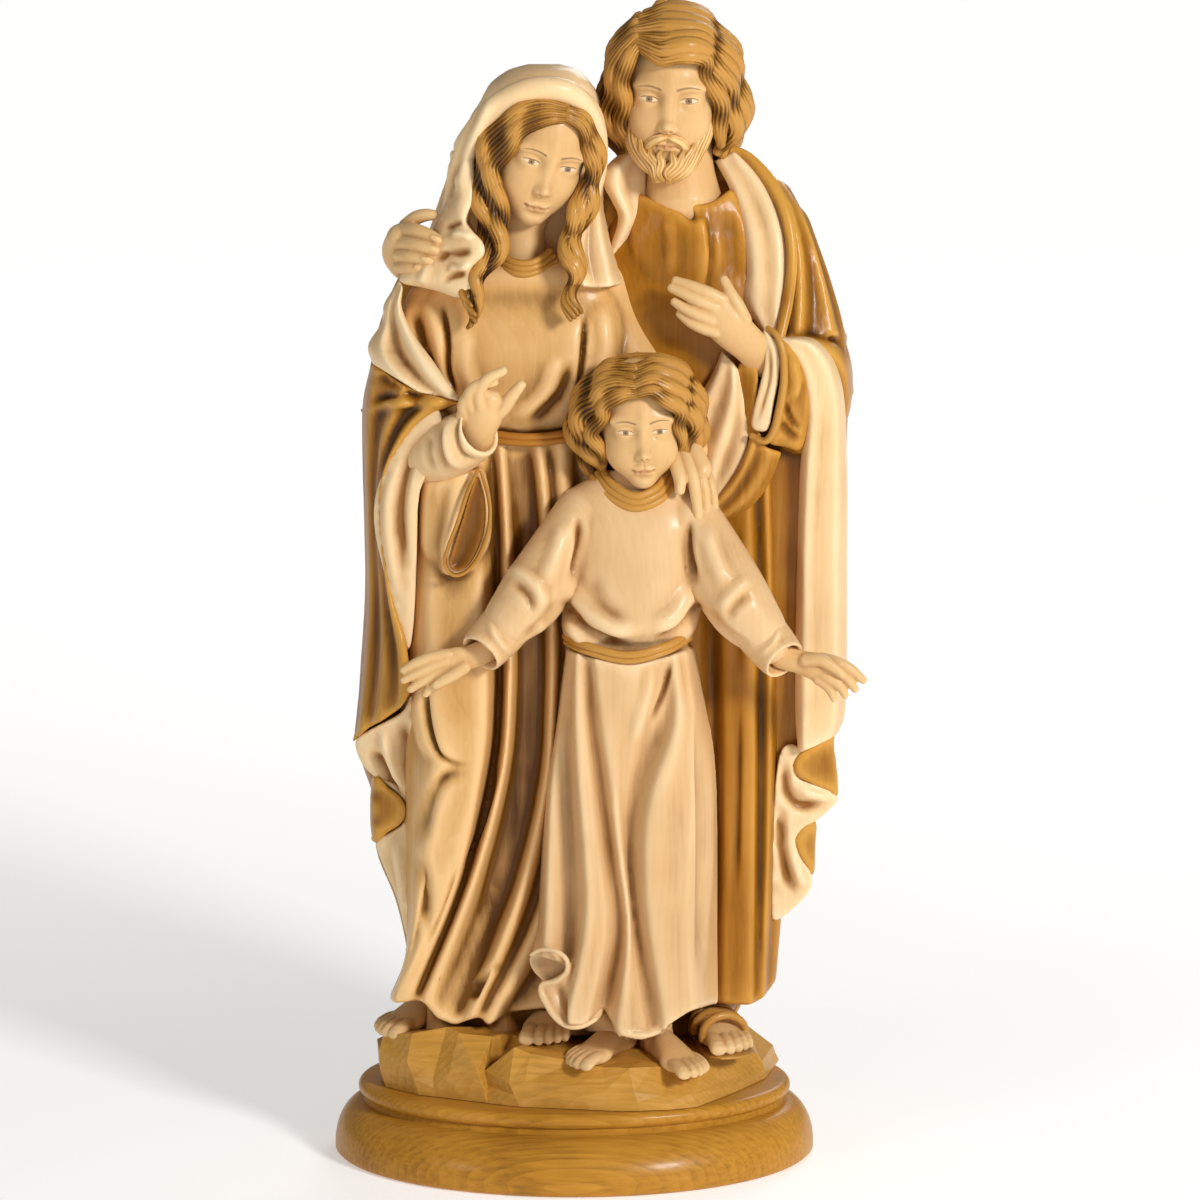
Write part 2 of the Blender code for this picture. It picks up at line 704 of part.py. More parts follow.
def child():
    """The child, in front, in a long belted robe, both arms held out."""
    robe = column(
        "child_robe",
        [
            (470, 602, 672, 104, 40),
            (486, 574, 694, 108, 32),
            (500, 556, 708, 112, 26),
            (530, 554, 716, 120, 20),
            (570, 560, 710, 126, 16),
            (610, 562, 704, 130, 14),
            (640, 568, 690, 126, 14),
            (662, 564, 692, 124, 14),
            (711, 552, 706, 128, 12),
            (783, 544, 714, 132, 10),
            (895, 540, 716, 132, 8),
            (955, 536, 716, 130, 6),
            (1000, 560, 716, 126, 4),
            (1024, 590, 700, 120, 8),
        ],
    )
    sleeves = [
        tube(
            "child_arm_right",
            [(578, 526, 80, 30), (540, 582, 98, 31), (506, 628, 106, 26), (482, 656, 110, 18)],
        ),
        tube(
            "child_arm_left",
            [(692, 530, 80, 32), (728, 588, 98, 33), (762, 636, 108, 27), (782, 662, 112, 22)],
        ),
    ]
    face = head("child_head", (640, 428, 84), 122, lean=-3, turn=4, nod=8, jaw=0.255)
    hair = column(
        "child_hair",
        [
            (350, 626, 652, 76, 56),
            (354, 608, 668, 96, 44),
            (366, 594, 682, 108, 32),
            (386, 584, 692, 106, 24),
            (412, 578, 698, 92, 20),
            (440, 578, 698, 82, 18),
            (466, 594, 684, 72, 22),
            (478, 606, 672, 62, 26),
        ],
        power=0.95,
    )
    waves = [
        tube(
            "child_wave_left",
            [
                (636, 386, 124, 11),
                (606, 398, 116, 13),
                (586, 420, 102, 13),
                (592, 452, 92, 11),
                (602, 472, 88, 7),
            ],
        ),
        tube(
            "child_wave_right",
            [
                (636, 386, 124, 10),
                (664, 392, 120, 12),
                (688, 414, 106, 13),
                (690, 444, 94, 11),
                (676, 468, 88, 8),
            ],
        ),
    ]
    neck = tube("child_neck", [(640, 455, 72, 24), (640, 490, 70, 26)])
    collar = tube(
        "child_collar",
        [
            (594, 474, 84, 6),
            (612, 498, 112, 6),
            (636, 508, 122, 6),
            (660, 496, 114, 6),
            (674, 474, 86, 6),
        ],
    )
    belt = tube(
        "child_belt",
        [
            (566, 636, 78, 5),
            (590, 648, 122, 5),
            (627, 657, 132, 5),
            (660, 648, 126, 5),
            (688, 634, 80, 5),
        ],
    )
    hands = [
        tube(
            "child_palm_right",
            [(486, 654, 108, 11), (462, 660, 112, 13), (444, 664, 114, 13)],
            flat=0.6,
        ),
        tube(
            "child_palm_left",
            [(786, 662, 112, 11), (808, 664, 116, 13), (824, 670, 118, 13)],
            flat=0.6,
        ),
        *finger_set(
            "child_finger_right",
            [
                [(442, 656, 114, 5), (424, 658, 116, 5), (404, 669, 116, 4)],
                [(440, 664, 116, 5), (424, 670, 118, 5), (409, 680, 118, 4)],
                [(442, 670, 116, 5), (430, 678, 118, 5), (416, 688, 118, 4)],
                [(448, 672, 116, 5), (438, 682, 118, 5), (429, 692, 118, 4)],
                [(456, 668, 118, 5), (446, 676, 122, 5), (436, 682, 122, 4)],
            ],
        ),
        *finger_set(
            "child_finger_left",
            [
                [(826, 662, 118, 5), (844, 664, 120, 5), (860, 680, 120, 4)],
                [(826, 670, 120, 5), (842, 674, 122, 5), (853, 687, 122, 4)],
                [(824, 676, 120, 5), (836, 684, 122, 5), (845, 694, 122, 4)],
                [(820, 680, 120, 5), (828, 688, 122, 5), (835, 697, 122, 4)],
                [(812, 658, 120, 5), (828, 656, 124, 5), (840, 670, 124, 4)],
            ],
        ),
        tube("mother_left_thumb", [(668, 452, 96, 8), (676, 470, 104, 7), (680, 490, 110, 5)]),
        *finger_set(
            "mother_left_finger",
            [
                [(686, 462, 92, 7), (692, 490, 104, 7), (696, 514, 106, 5)],
                [(694, 462, 86, 7), (702, 490, 96, 7), (705, 518, 98, 5)],
                [(702, 466, 78, 7), (712, 492, 84, 7), (714, 514, 86, 5)],
            ],
        ),
    ]
    mother_arm = tube(
        "mother_arm_left",
        [(600, 300, 0, 38), (640, 370, 16, 34), (676, 430, 50, 28), (692, 462, 78, 20)],
    )
    robe = remeshed(joined("child_robe", [robe, *sleeves]), VOXEL, 4)
    pleats(robe, (630, 60), 7, 7, 500, 80)
    carve(robe, CHILD_FOLDS)
    hair = remeshed(joined("child_hair", [hair, *waves]), VOXEL, 2)
    carve(hair, CHILD_HAIR_LOCKS)
    feet = [
        tube("child_foot_right", [(612, 1030, 96, 14), (592, 1050, 116, 12), (576, 1066, 128, 9)]),
        tube("child_foot_left", [(664, 1020, 96, 16), (680, 1050, 118, 14), (692, 1072, 128, 11)]),
    ]
    return [robe, face, hair, neck, collar, belt, *hands, mother_arm, *feet]


MOTHER_CLOAK_FOLDS = [
    ("valley", 12, 9, [(500, 85), (470, 140), (452, 205), (430, 270)]),
    ("ridge", 9, 5, [(470, 160), (456, 210), (440, 262)]),
    ("lip", 26, 8, [(596, 110), (606, 160), (600, 215), (612, 270)]),
    ("valley", 12, 10, [(377, 506), (374, 570), (370, 640), (362, 700)]),
    ("ridge", 10, 7, [(392, 500), (392, 580), (384, 660), (372, 716)]),
    ("valley", 10, 9, [(405, 500), (404, 580), (398, 660), (388, 712)]),
    ("lip", 20, 10, [(355, 742), (386, 722), (410, 692)]),
    ("valley", 12, 11, [(364, 748), (384, 784), (404, 806)]),
    ("ridge", 12, 6, [(388, 760), (396, 830), (404, 900)]),
    ("valley", 10, 8, [(378, 840), (394, 830), (408, 812)]),
    ("valley", 10, 8, [(399, 300), (417, 344), (448, 382)]),
    ("lip", 18, 9, [(461, 402), (420, 392), (374, 364)]),
]

MOTHER_DRESS_FOLDS = [
    ("valley", 16, 13, [(448, 300), (452, 340), (446, 380)]),
    ("valley", 16, 13, [(586, 300), (584, 360), (578, 420)]),
    ("valley", 8, 8, [(488, 438), (530, 444), (582, 438)]),
    ("valley", 12, 8, [(505, 330), (500, 380), (506, 430)]),
    ("valley", 12, 8, [(545, 320), (540, 380), (532, 430)]),
    ("ridge", 10, 5, [(520, 330), (516, 380), (520, 428)]),
    ("lip", 22, 10, [(440, 480), (470, 462), (494, 436)]),
    ("valley", 20, 20, [(474, 480), (462, 515), (454, 558)]),
    ("valley", 10, 10, [(462, 575), (455, 560), (444, 566)]),
    ("valley", 16, 18, [(500, 560), (500, 681), (491, 766), (471, 844), (446, 895), (422, 930)]),
    ("ridge", 12, 10, [(512, 600), (509, 671), (503, 762), (491, 824), (462, 895), (426, 950)]),
    ("valley", 22, 24, [(530, 560), (532, 660), (530, 762), (510, 860), (480, 930), (440, 985)]),
    ("ridge", 12, 10, [(560, 560), (554, 680), (544, 773), (534, 824), (515, 885), (479, 950), (450, 1000)]),
    ("valley", 14, 16, [(572, 640), (562, 780), (548, 870), (522, 940), (496, 1000)]),
    ("valley", 12, 8, [(432, 758), (450, 764), (470, 756)]),
    ("valley", 12, 9, [(424, 600), (420, 680), (424, 740)]),
    ("valley", 12, 9, [(420, 790), (424, 860), (416, 930)]),
    ("valley", 10, 8, [(446, 450), (452, 490), (440, 540)]),
    ("ridge", 9, 6, [(432, 960), (428, 990), (436, 1014)]),
    ("valley", 9, 9, [(420, 950), (412, 980), (416, 1002)]),
    ("valley", 10, 12, [(492, 1009), (504, 985), (517, 960)]),
    ("ridge", 10, 7, [(470, 960), (460, 990), (458, 1020)]),
]

FATHER_FOLDS = [
    ("valley", 12, 10, [(700, 222), (706, 245), (696, 275)]),
    ("lip", 20, 8, [(695, 276), (703, 245), (702, 216)]),
    ("valley", 10, 8, [(640, 200), (646, 240), (640, 290)]),
    ("valley", 14, 12, [(762, 250), (768, 300), (770, 340)]),
    ("valley", 16, 12, [(640, 270), (660, 320), (690, 350)]),
    ("valley", 10, 10, [(755, 440), (735, 476), (708, 510)]),
    ("ridge", 9, 6, [(748, 420), (728, 456), (702, 492)]),
    ("ridge", 8, 5, [(730, 380), (714, 420), (706, 470)]),
    ("ridge", 10, 7, [(776, 456), (758, 486), (724, 518)]),
    ("valley", 10, 9, [(784, 462), (766, 494), (732, 524)]),
    ("valley", 16, 18, [(790, 470), (790, 600), (786, 720), (780, 800)]),
    ("ridge", 9, 7, [(736, 530), (736, 640), (730, 700)]),
    ("valley", 10, 10, [(744, 530), (746, 660), (738, 800), (736, 960)]),
    ("ridge", 9, 7, [(752, 530), (754, 700), (748, 860), (748, 980)]),
    ("valley", 9, 9, [(760, 530), (762, 700), (758, 860), (756, 980)]),
    ("ridge", 9, 6, [(772, 540), (772, 700), (768, 860), (764, 980)]),
    ("valley", 10, 8, [(722, 540), (724, 680), (724, 840), (722, 980)]),
    ("ridge", 9, 6, [(812, 400), (810, 520), (808, 640), (806, 736)]),
    ("valley", 9, 9, [(822, 400), (824, 540), (822, 660), (816, 736)]),
    ("ridge", 9, 6, [(834, 420), (836, 560), (836, 680), (830, 726)]),
    ("valley", 12, 10, [(838, 736), (812, 756), (798, 778)]),
    ("ridge", 10, 7, [(838, 770), (816, 790), (800, 806)]),
    ("valley", 10, 9, [(818, 822), (800, 838), (788, 856)]),
    ("ridge", 9, 7, [(812, 868), (794, 884), (778, 900)]),
    ("valley", 14, 12, [(758, 345), (764, 380), (762, 420)]),
    ("lip", 16, 8, [(762, 432), (764, 382), (758, 336)]),
    ("valley", 12, 9, [(800, 250), (812, 300), (824, 340)]),
    ("valley", 12, 9, [(786, 240), (796, 290), (806, 336)]),
]

CHILD_FOLDS = [
    ("valley", 14, 12, [(574, 500), (578, 530), (570, 566)]),
    ("valley", 14, 12, [(694, 506), (690, 534), (700, 570)]),
    ("valley", 10, 9, [(600, 560), (598, 600), (590, 640)]),
    ("valley", 10, 9, [(626, 570), (628, 610), (624, 650)]),
    ("valley", 10, 9, [(654, 560), (658, 600), (656, 642)]),
    ("ridge", 9, 6, [(612, 560), (612, 600), (606, 640)]),
    ("ridge", 9, 6, [(642, 570), (644, 610), (640, 646)]),
    ("valley", 8, 9, [(566, 640), (596, 656), (627, 664), (660, 656), (688, 640)]),
    ("ridge", 10, 8, [(566, 626), (596, 640), (627, 648), (660, 640), (688, 626)]),
    ("valley", 14, 13, [(586, 668), (593, 742), (604, 824), (618, 905), (630, 970)]),
    ("valley", 12, 11, [(566, 700), (568, 780), (570, 860), (574, 945)]),
    ("ridge", 11, 8, [(578, 690), (584, 780), (594, 870), (606, 950)]),
    ("valley", 14, 14, [(678, 700), (651, 742), (634, 782), (626, 830), (630, 900), (644, 970)]),
    ("ridge", 11, 7, [(606, 690), (614, 760), (618, 820), (626, 890), (638, 950)]),
    ("valley", 11, 9, [(667, 664), (660, 690), (650, 726)]),
    ("valley", 10, 8, [(698, 690), (702, 760), (704, 860), (700, 960)]),
    ("valley", 12, 7, [(648, 880), (668, 884), (688, 878)]),
    ("valley", 12, 10, [(664, 900), (664, 950), (672, 996)]),
    ("ridge", 10, 7, [(650, 900), (650, 960), (654, 1010)]),
    ("ridge", 9, 6, [(686, 900), (690, 950), (690, 1000)]),
    ("valley", 9, 8, [(600, 970), (606, 994), (616, 1020)]),
    ("valley", 12, 9, [(548, 560), (528, 600), (500, 640)]),
    ("valley", 10, 8, [(560, 590), (540, 620), (514, 650)]),
    ("valley", 12, 9, [(712, 560), (738, 600), (768, 646)]),
    ("valley", 10, 8, [(700, 590), (726, 624), (752, 656)]),
]

FATHER_HAIR_LOCKS = [
    ("valley", 6, 6, [(640, 30), (618, 60), (612, 100), (622, 140)]),
    ("valley", 6, 6, [(630, 40), (610, 76), (608, 116)]),
    ("valley", 6, 6, [(646, 30), (690, 38), (724, 70), (738, 110)]),
    ("valley", 6, 6, [(660, 14), (704, 26), (732, 70), (744, 100)]),
    ("valley", 6, 5, [(650, 46), (690, 50), (716, 74), (726, 130)]),
]

CHILD_HAIR_LOCKS = [
    ("valley", 5, 5, [(634, 372), (600, 382), (582, 410), (584, 440)]),
    ("valley", 5, 5, [(632, 392), (602, 404), (592, 436), (602, 466)]),
    ("valley", 5, 5, [(640, 372), (676, 382), (694, 410), (692, 446)]),
    ("valley", 5, 5, [(644, 392), (672, 402), (682, 434), (674, 464)]),
]


def oval(width, depth, height, around=72):
    turn = np.linspace(0, 2 * math.pi, around, endpoint=False)
    ring = np.empty((around, 3))
    ring[:, 0] = width / 2 * np.cos(turn)
    ring[:, 1] = depth / 2 * np.sin(turn)
    ring[:, 2] = height
    return ring


def ground():
    """The rocky ground under the figures, a low mound with broken faces."""
    floor = PLINTH_HEIGHT + GLUE_GAP
    width = BEAD_WIDTH - 2 * ROCK_INSET
    depth = BEAD_DEPTH - 2 * ROCK_INSET
    rings = []
    for share, rise in ROCK_RINGS:
        ring = oval(width * share, depth * share, floor + rise, 64)
        turn = np.arctan2(ring[:, 1], ring[:, 0])
        broken = np.abs((turn * 2.1 + 0.35) % 1.0 - 0.5) + np.abs((turn * 3.3 + rise * 60) % 1.0 - 0.5)
        ring[:, :2] *= (1.0 - ROCK_NOTCH * broken)[:, None]
        ring[:, 2] += ROCK_BREAKS * (broken - 0.5) * (rise > 0.01)
        rings.append(ring)
    return loft("ground", np.array(rings))


def largest_island(thing):
    """Keeps the one closed outer skin and drops what the remesh left inside it."""
    shape = bmesh.new()
    shape.from_mesh(thing.data)
    shape.verts.ensure_lookup_table()
    seen = set()
    islands = []
    for start in shape.verts:
        if start.index in seen:
            continue
        island = [start]
        seen.add(start.index)
        for vertex in island:
            for edge in vertex.link_edges:
                other = edge.other_vert(vertex)
                if other.index not in seen:
                    seen.add(other.index)
                    island.append(other)
        islands.append(island)
    islands.sort(key=len)
    for island in islands[:-1]:
        bmesh.ops.delete(shape, geom=island, context="VERTS")
    shape.to_mesh(thing.data)
    shape.free()
    return thing


def decimated(thing, triangles):
    count = sum(len(face.vertices) - 2 for face in thing.data.polygons)
    fewer = thing.modifiers.new("fewer", "DECIMATE")
    fewer.ratio = triangles / count
    return applied(thing)


def cut_flat(thing, height):
    """Cuts the underside off level at the height and closes it."""
    shape = bmesh.new()
    shape.from_mesh(thing.data)
    everything = shape.verts[:] + shape.edges[:] + shape.faces[:]
    cut = bmesh.ops.bisect_plane(
        shape,
        geom=everything,
        dist=1e-6,
        plane_co=Vector((0, 0, height)),
        plane_no=Vector((0, 0, 1)),
        clear_inner=True,
    )
    rim = [item for item in cut["geom_cut"] if isinstance(item, bmesh.types.BMEdge)]
    bmesh.ops.holes_fill(shape, edges=rim, sides=0)
    bmesh.ops.triangulate(shape, faces=shape.faces[:])
    shape.to_mesh(thing.data)
    shape.free()
    return thing


def wood(name, colour, roughness):
    material = bpy.data.materials.new(name)
    material.use_nodes = True
    shader = material.node_tree.nodes["Principled BSDF"]
    shader.inputs["Base Color"].default_value = colour
    shader.inputs["Roughness"].default_value = roughness
    shader.inputs["Metallic"].default_value = 0.0
    material.diffuse_color = colour
    return material


def figure_group():
    things = [*mother(), *father(), *child(), ground()]
    whole = remeshed(joined("figure_group", things), VOXEL, 1, 0.3)
    largest_island(whole)
    decimated(whole, GROUP_TRIANGLES)
    cut_flat(whole, PLINTH_HEIGHT + GLUE_GAP)
    largest_island(whole)
    whole.data.materials.clear()
    whole.data.materials.append(wood("carved_limewood", LIMEWOOD_BROWN, 0.4))
    return whole


def plinth():
    """The turned oval plinth: foot, flaring skirt, groove and round bead."""
    groove_low = PLINTH_HEIGHT - BEAD_HEIGHT - GROOVE_HEIGHT
    neck_width = BEAD_WIDTH - 2 * GROOVE_DEPTH
    neck_depth = BEAD_DEPTH - 2 * GROOVE_DEPTH
    profile = [(PLINTH_WIDTH * 0.5, PLINTH_DEPTH * 0.5, 0.0)]
    steps = 6
    for i in range(steps + 1):
        bend = math.radians(90 * i / steps)
        out = math.cos(bend)
        up = math.sin(bend)
        half_width = neck_width / 2 + (PLINTH_WIDTH - neck_width) / 2 * out
        half_depth = neck_depth / 2 + (PLINTH_DEPTH - neck_depth) / 2 * out
        profile.append((half_width, half_depth, FOOT_EDGE + (groove_low - FOOT_EDGE) * up))
    profile.append((neck_width / 2, neck_depth / 2, groove_low + GROOVE_HEIGHT))
    bead = BEAD_HEIGHT / 2
    for i in range(steps + 1):
        bend = math.radians(-80 + 170 * i / steps)
        out = bead * math.cos(bend)
        profile.append(
            (
                BEAD_WIDTH / 2 - bead + out,
                BEAD_DEPTH / 2 - bead + out,
                PLINTH_HEIGHT - bead + bead * math.sin(bend),
            )
        )
    rings = [oval(2 * w, 2 * d, h, 36) for w, d, h in profile]
    shape = loft("plinth", np.array(rings))
    shape.data.materials.append(wood("plinth_wood", PLINTH_BROWN, 0.38))
    return shape


for leftover in list(bpy.data.objects):
    bpy.data.objects.remove(leftover)
GROUP = bpy.data.collections.new("holy_family_statue")
bpy.context.scene.collection.children.link(GROUP)
plinth()
figure_group()
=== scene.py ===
"""Looks of the holy family statue: carved, stained and waxed limewood on a turned plinth."""

import math

import bmesh
import bpy
import numpy as np
from mathutils import Matrix, Vector


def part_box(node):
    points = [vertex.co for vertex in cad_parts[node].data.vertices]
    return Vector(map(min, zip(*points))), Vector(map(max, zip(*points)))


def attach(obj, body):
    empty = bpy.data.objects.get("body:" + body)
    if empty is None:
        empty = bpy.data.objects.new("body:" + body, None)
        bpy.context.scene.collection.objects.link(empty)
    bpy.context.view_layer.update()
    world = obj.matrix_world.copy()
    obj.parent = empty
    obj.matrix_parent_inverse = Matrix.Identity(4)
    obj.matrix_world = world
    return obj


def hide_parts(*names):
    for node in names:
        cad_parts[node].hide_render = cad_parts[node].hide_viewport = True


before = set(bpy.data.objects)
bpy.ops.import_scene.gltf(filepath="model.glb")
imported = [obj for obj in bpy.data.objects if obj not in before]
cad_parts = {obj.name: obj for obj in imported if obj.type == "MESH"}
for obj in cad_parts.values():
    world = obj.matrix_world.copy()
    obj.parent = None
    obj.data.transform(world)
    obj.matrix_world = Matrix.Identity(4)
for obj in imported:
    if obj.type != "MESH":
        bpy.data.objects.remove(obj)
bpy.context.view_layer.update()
plinth_low, plinth_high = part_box("plinth")
group_low, group_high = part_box("figure_group")

STATUE_HEIGHT = group_high[2]
GARMENT_GRAIN = 0.00115  # voxel of the draped cloth, metres
SKIN_GRAIN = 0.00055  # voxel of the hands and feet
MANY_LOOPS = 36000  # a piece with more face corners is thinned when it is finished

# The front drawing. The figures are drawn on a sheet 1200 units each way, x to the right and y down,
# as an eye at EYE sees them. Depths are in the same units from the plinth's centre plane, toward the
# eye. Every drawn size is a share of the statue's own height.
SHEET = 1200.0
DRAWN_HEIGHT = 1154.0
UNIT = STATUE_HEIGHT / DRAWN_HEIGHT
EYE = np.array((26.0, -4390.0, 1233.0)) * UNIT
TILT = math.radians(8.7)
FOCAL = 4446.0
EYE_FORWARD = np.array((0.0, math.cos(TILT), -math.sin(TILT)))
EYE_RIGHT = np.array((1.0, 0.0, 0.0))
EYE_UP = np.array((0.0, math.sin(TILT), math.cos(TILT)))


def place(drawn):
    """World places of points drawn at (x, y, depth)."""
    drawn = np.asarray(drawn, float)
    across = (drawn[..., 0] - SHEET / 2) / FOCAL
    above = (SHEET / 2 - drawn[..., 1]) / FOCAL
    ray = EYE_FORWARD + across[..., None] * EYE_RIGHT + above[..., None] * EYE_UP
    reach = (-drawn[..., 2] * UNIT - EYE[1]) / ray[..., 1]
    return EYE + reach[..., None] * ray


def draw(points):
    """Where the eye sees world points on the sheet, with their depth."""
    offset = points - EYE
    reach = offset @ EYE_FORWARD
    x = SHEET / 2 + FOCAL * (offset @ EYE_RIGHT) / reach
    y = SHEET / 2 - FOCAL * (offset @ EYE_UP) / reach
    return np.stack((x, y, -points[:, 1] / UNIT), axis=1)


def curve(points, per=6, closed=False):
    """A smooth path through the given points, of any number of columns."""
    p = np.array(points, float)
    if closed:
        p = np.vstack((p[-1], p, p[0], p[1]))
    else:
        p = np.vstack((2 * p[0] - p[1], p, 2 * p[-1] - p[-2]))
    t = np.linspace(0, 1, per, endpoint=False)[:, None]
    parts = []
    for i in range(1, len(p) - 2):
        a, b, c, d = p[i - 1 : i + 3]
        bend = (2 * a - 5 * b + 4 * c - d) * t**2 + (3 * b - a - 3 * c + d) * t**3
        parts.append(0.5 * (2 * b + (c - a) * t + bend))
    if not closed:
        parts.append(p[-2:-1])
    return np.vstack(parts)


def mesh_object(name, points, faces):
    mesh = bpy.data.meshes.new(name)
    mesh.from_pydata([tuple(p) for p in points], [], faces)
    mesh.update()
    shape = bmesh.new()
    shape.from_mesh(mesh)
    bmesh.ops.recalc_face_normals(shape, faces=shape.faces)
    if shape.calc_volume(signed=True) < 0:
        bmesh.ops.reverse_faces(shape, faces=shape.faces)
    shape.to_mesh(mesh)
    shape.free()
    thing = bpy.data.objects.new(name, mesh)
    bpy.context.scene.collection.objects.link(thing)
    return thing


def loft(name, rings):
    """A closed skin over rings of points, with a fan on each end."""
    rows, around = rings.shape[:2]
    points = np.vstack((rings.reshape(-1, 3), rings[0].mean(0), rings[-1].mean(0)))
    faces = []
    for r in range(rows - 1):
        for k in range(around):
            n = (k + 1) % around
            faces.append((r * around + k, r * around + n, (r + 1) * around + n, (r + 1) * around + k))
    first = rows * around
    last = (rows - 1) * around
    for k in range(around):
        n = (k + 1) % around
        faces.append((n, k, first))
        faces.append((last + k, last + n, first + 1))
    return mesh_object(name, points, faces)


def column(name, rows, around=72, power=0.82):
    """An upright mass. Each row is (y, left x, right x, front depth, back depth)."""
    rows = curve(rows, 6)
    turn = np.linspace(0, 2 * math.pi, around, endpoint=False)
    side = np.sign(np.cos(turn)) * np.abs(np.cos(turn)) ** power
    front = np.sign(np.sin(turn)) * np.abs(np.sin(turn)) ** power
    rings = np.empty((len(rows), around, 3))
    for i, (y, left, right, near, far) in enumerate(rows):
        rings[i, :, 0] = (left + right) / 2 + (right - left) / 2 * side
        rings[i, :, 1] = y
        rings[i, :, 2] = (near + far) / 2 + (near - far) / 2 * front
    return loft(name, place(rings))


def limb(name, centre, radius, around=18, flat=1.0, ends=4, flutes=0, groove=0.0, open_end=0.0):
    """A rounded limb along world points. An open end is a cup with a wall that share thick."""
    along = np.gradient(centre, axis=0)
    along /= np.linalg.norm(along, axis=1)[:, None]
    turn = np.linspace(0, 2 * math.pi, around, endpoint=False)[:, None]
    cut = 1 + groove * np.cos(flutes * turn)
    rings = []

    def ring(j, slide, size):
        axis = along[j]
        side = np.cross(axis, (0.0, 1.0, 0.15))
        side /= np.linalg.norm(side)
        depth = np.cross(side, axis) * flat
        middle = centre[j] + axis * slide
        rings.append(middle + size * cut * (side * np.cos(turn) + depth * np.sin(turn)))

    last = len(centre) - 1
    for i in range(-ends, len(centre)):
        j = max(i, 0)
        past = (i - j) / (ends + 0.35)
        ring(j, past * radius[j], radius[j] * math.sqrt(1 - past * past))
    if open_end:
        wall = radius[last] * open_end
        ring(last, 0.4 * wall, radius[last] - 0.2 * wall)
        ring(last, 0.4 * wall, radius[last] - 0.8 * wall)
        ring(last, 0.0, radius[last] - wall)
        ring(last, -1.1 * radius[last], (radius[last] - wall) * 0.9)
    else:
        for i in range(1, ends + 1):
            past = i / (ends + 0.35)
            ring(last, past * radius[last], radius[last] * math.sqrt(1 - past * past))
    return loft(name, np.array(rings))


def tube(name, points, per=6, **shape):
    """A limb along drawn points of (x, y, depth, radius)."""
    path = curve(points, per)
    return limb(name, place(path[:, :3]), path[:, 3] * UNIT, **shape)


def tubes(name, paths, **shape):
    return [tube(f"{name}_{i}", path, **shape) for i, path in enumerate(paths)]


def strands(name, guides, count, wave=0.0, length=34.0, around=22, flutes=5, groove=0.13, swell=1.0):
    """Locks of hair laid side by side between guide paths, waved together like combed hair."""
    guides = np.array(guides, float)
    rows, knots, columns = guides.shape
    across = curve(guides.reshape(rows, -1), 12).reshape(-1, knots, columns)
    made = []
    for i in range(count):
        path = curve(across[round(i * (len(across) - 1) / max(count - 1, 1))], 6)
        run = np.concatenate(((0,), np.cumsum(np.linalg.norm(np.diff(path[:, :3], axis=0), axis=1))))
        fade = np.clip(run / length, 0, 1)
        phase = 2 * math.pi * run / length + 0.3 * i
        path[:, 0] += np.sin(phase) * wave * fade
        path[:, 2] += np.cos(phase) * wave * 0.9 * fade + (0.9 if i % 2 else 0.0)
        size = path[:, 3] * UNIT * swell * (1.0 if i % 2 else 0.86)
        centre = place(path[:, :3])
        made.append(limb(f"{name}_{i}", centre, size, around=around, flutes=flutes, groove=groove))
    return made


def slab(name, outline, thickness, bulge=4.0, voxel=GARMENT_GRAIN, per=3, soft=3):
    """A cloth layer with a drawn outline at its own depths and a rounded front."""
    edge = curve(outline, per, closed=True)
    back = edge - (0, 0, thickness)
    points = place(np.vstack((edge, back)))
    count = len(edge)
    faces = [tuple(range(count)), tuple(range(2 * count - 1, count - 1, -1))]
    faces += [(k, k + count, (k + 1) % count + count, (k + 1) % count) for k in range(count)]
    thing = remeshed(mesh_object(name, points, faces), voxel, 1)
    drawn = draw(corners(thing))
    gap = np.linalg.norm(drawn[:, None, :2] - edge[None, :, :2], axis=2)
    weight = 1 / (gap**2 + 4.0)
    front = (weight * edge[:, 2]).sum(1) / weight.sum(1)
    loop = np.vstack((edge, edge[:1]))[:, :2]
    rim = np.concatenate([nearest_on_path(part, loop)[0] for part in np.array_split(drawn[:, :2], 8)])
    front += bulge * (1 - np.exp(-rim / 7.0)) - bulge
    share = np.clip((drawn[:, 2] - front + thickness) / thickness, 0, 1.2)
    facing = np.clip((outward(thing) * (0, -1, 0)).sum(1) * 2.5, 0, 1)
    drawn[:, 2] += facing * share * (front + bulge - drawn[:, 2])
    move_corners(thing, place(drawn))
    settle = thing.modifiers.new("settle", "SMOOTH")
    settle.factor = 0.5
    settle.iterations = soft
    return applied(thing)


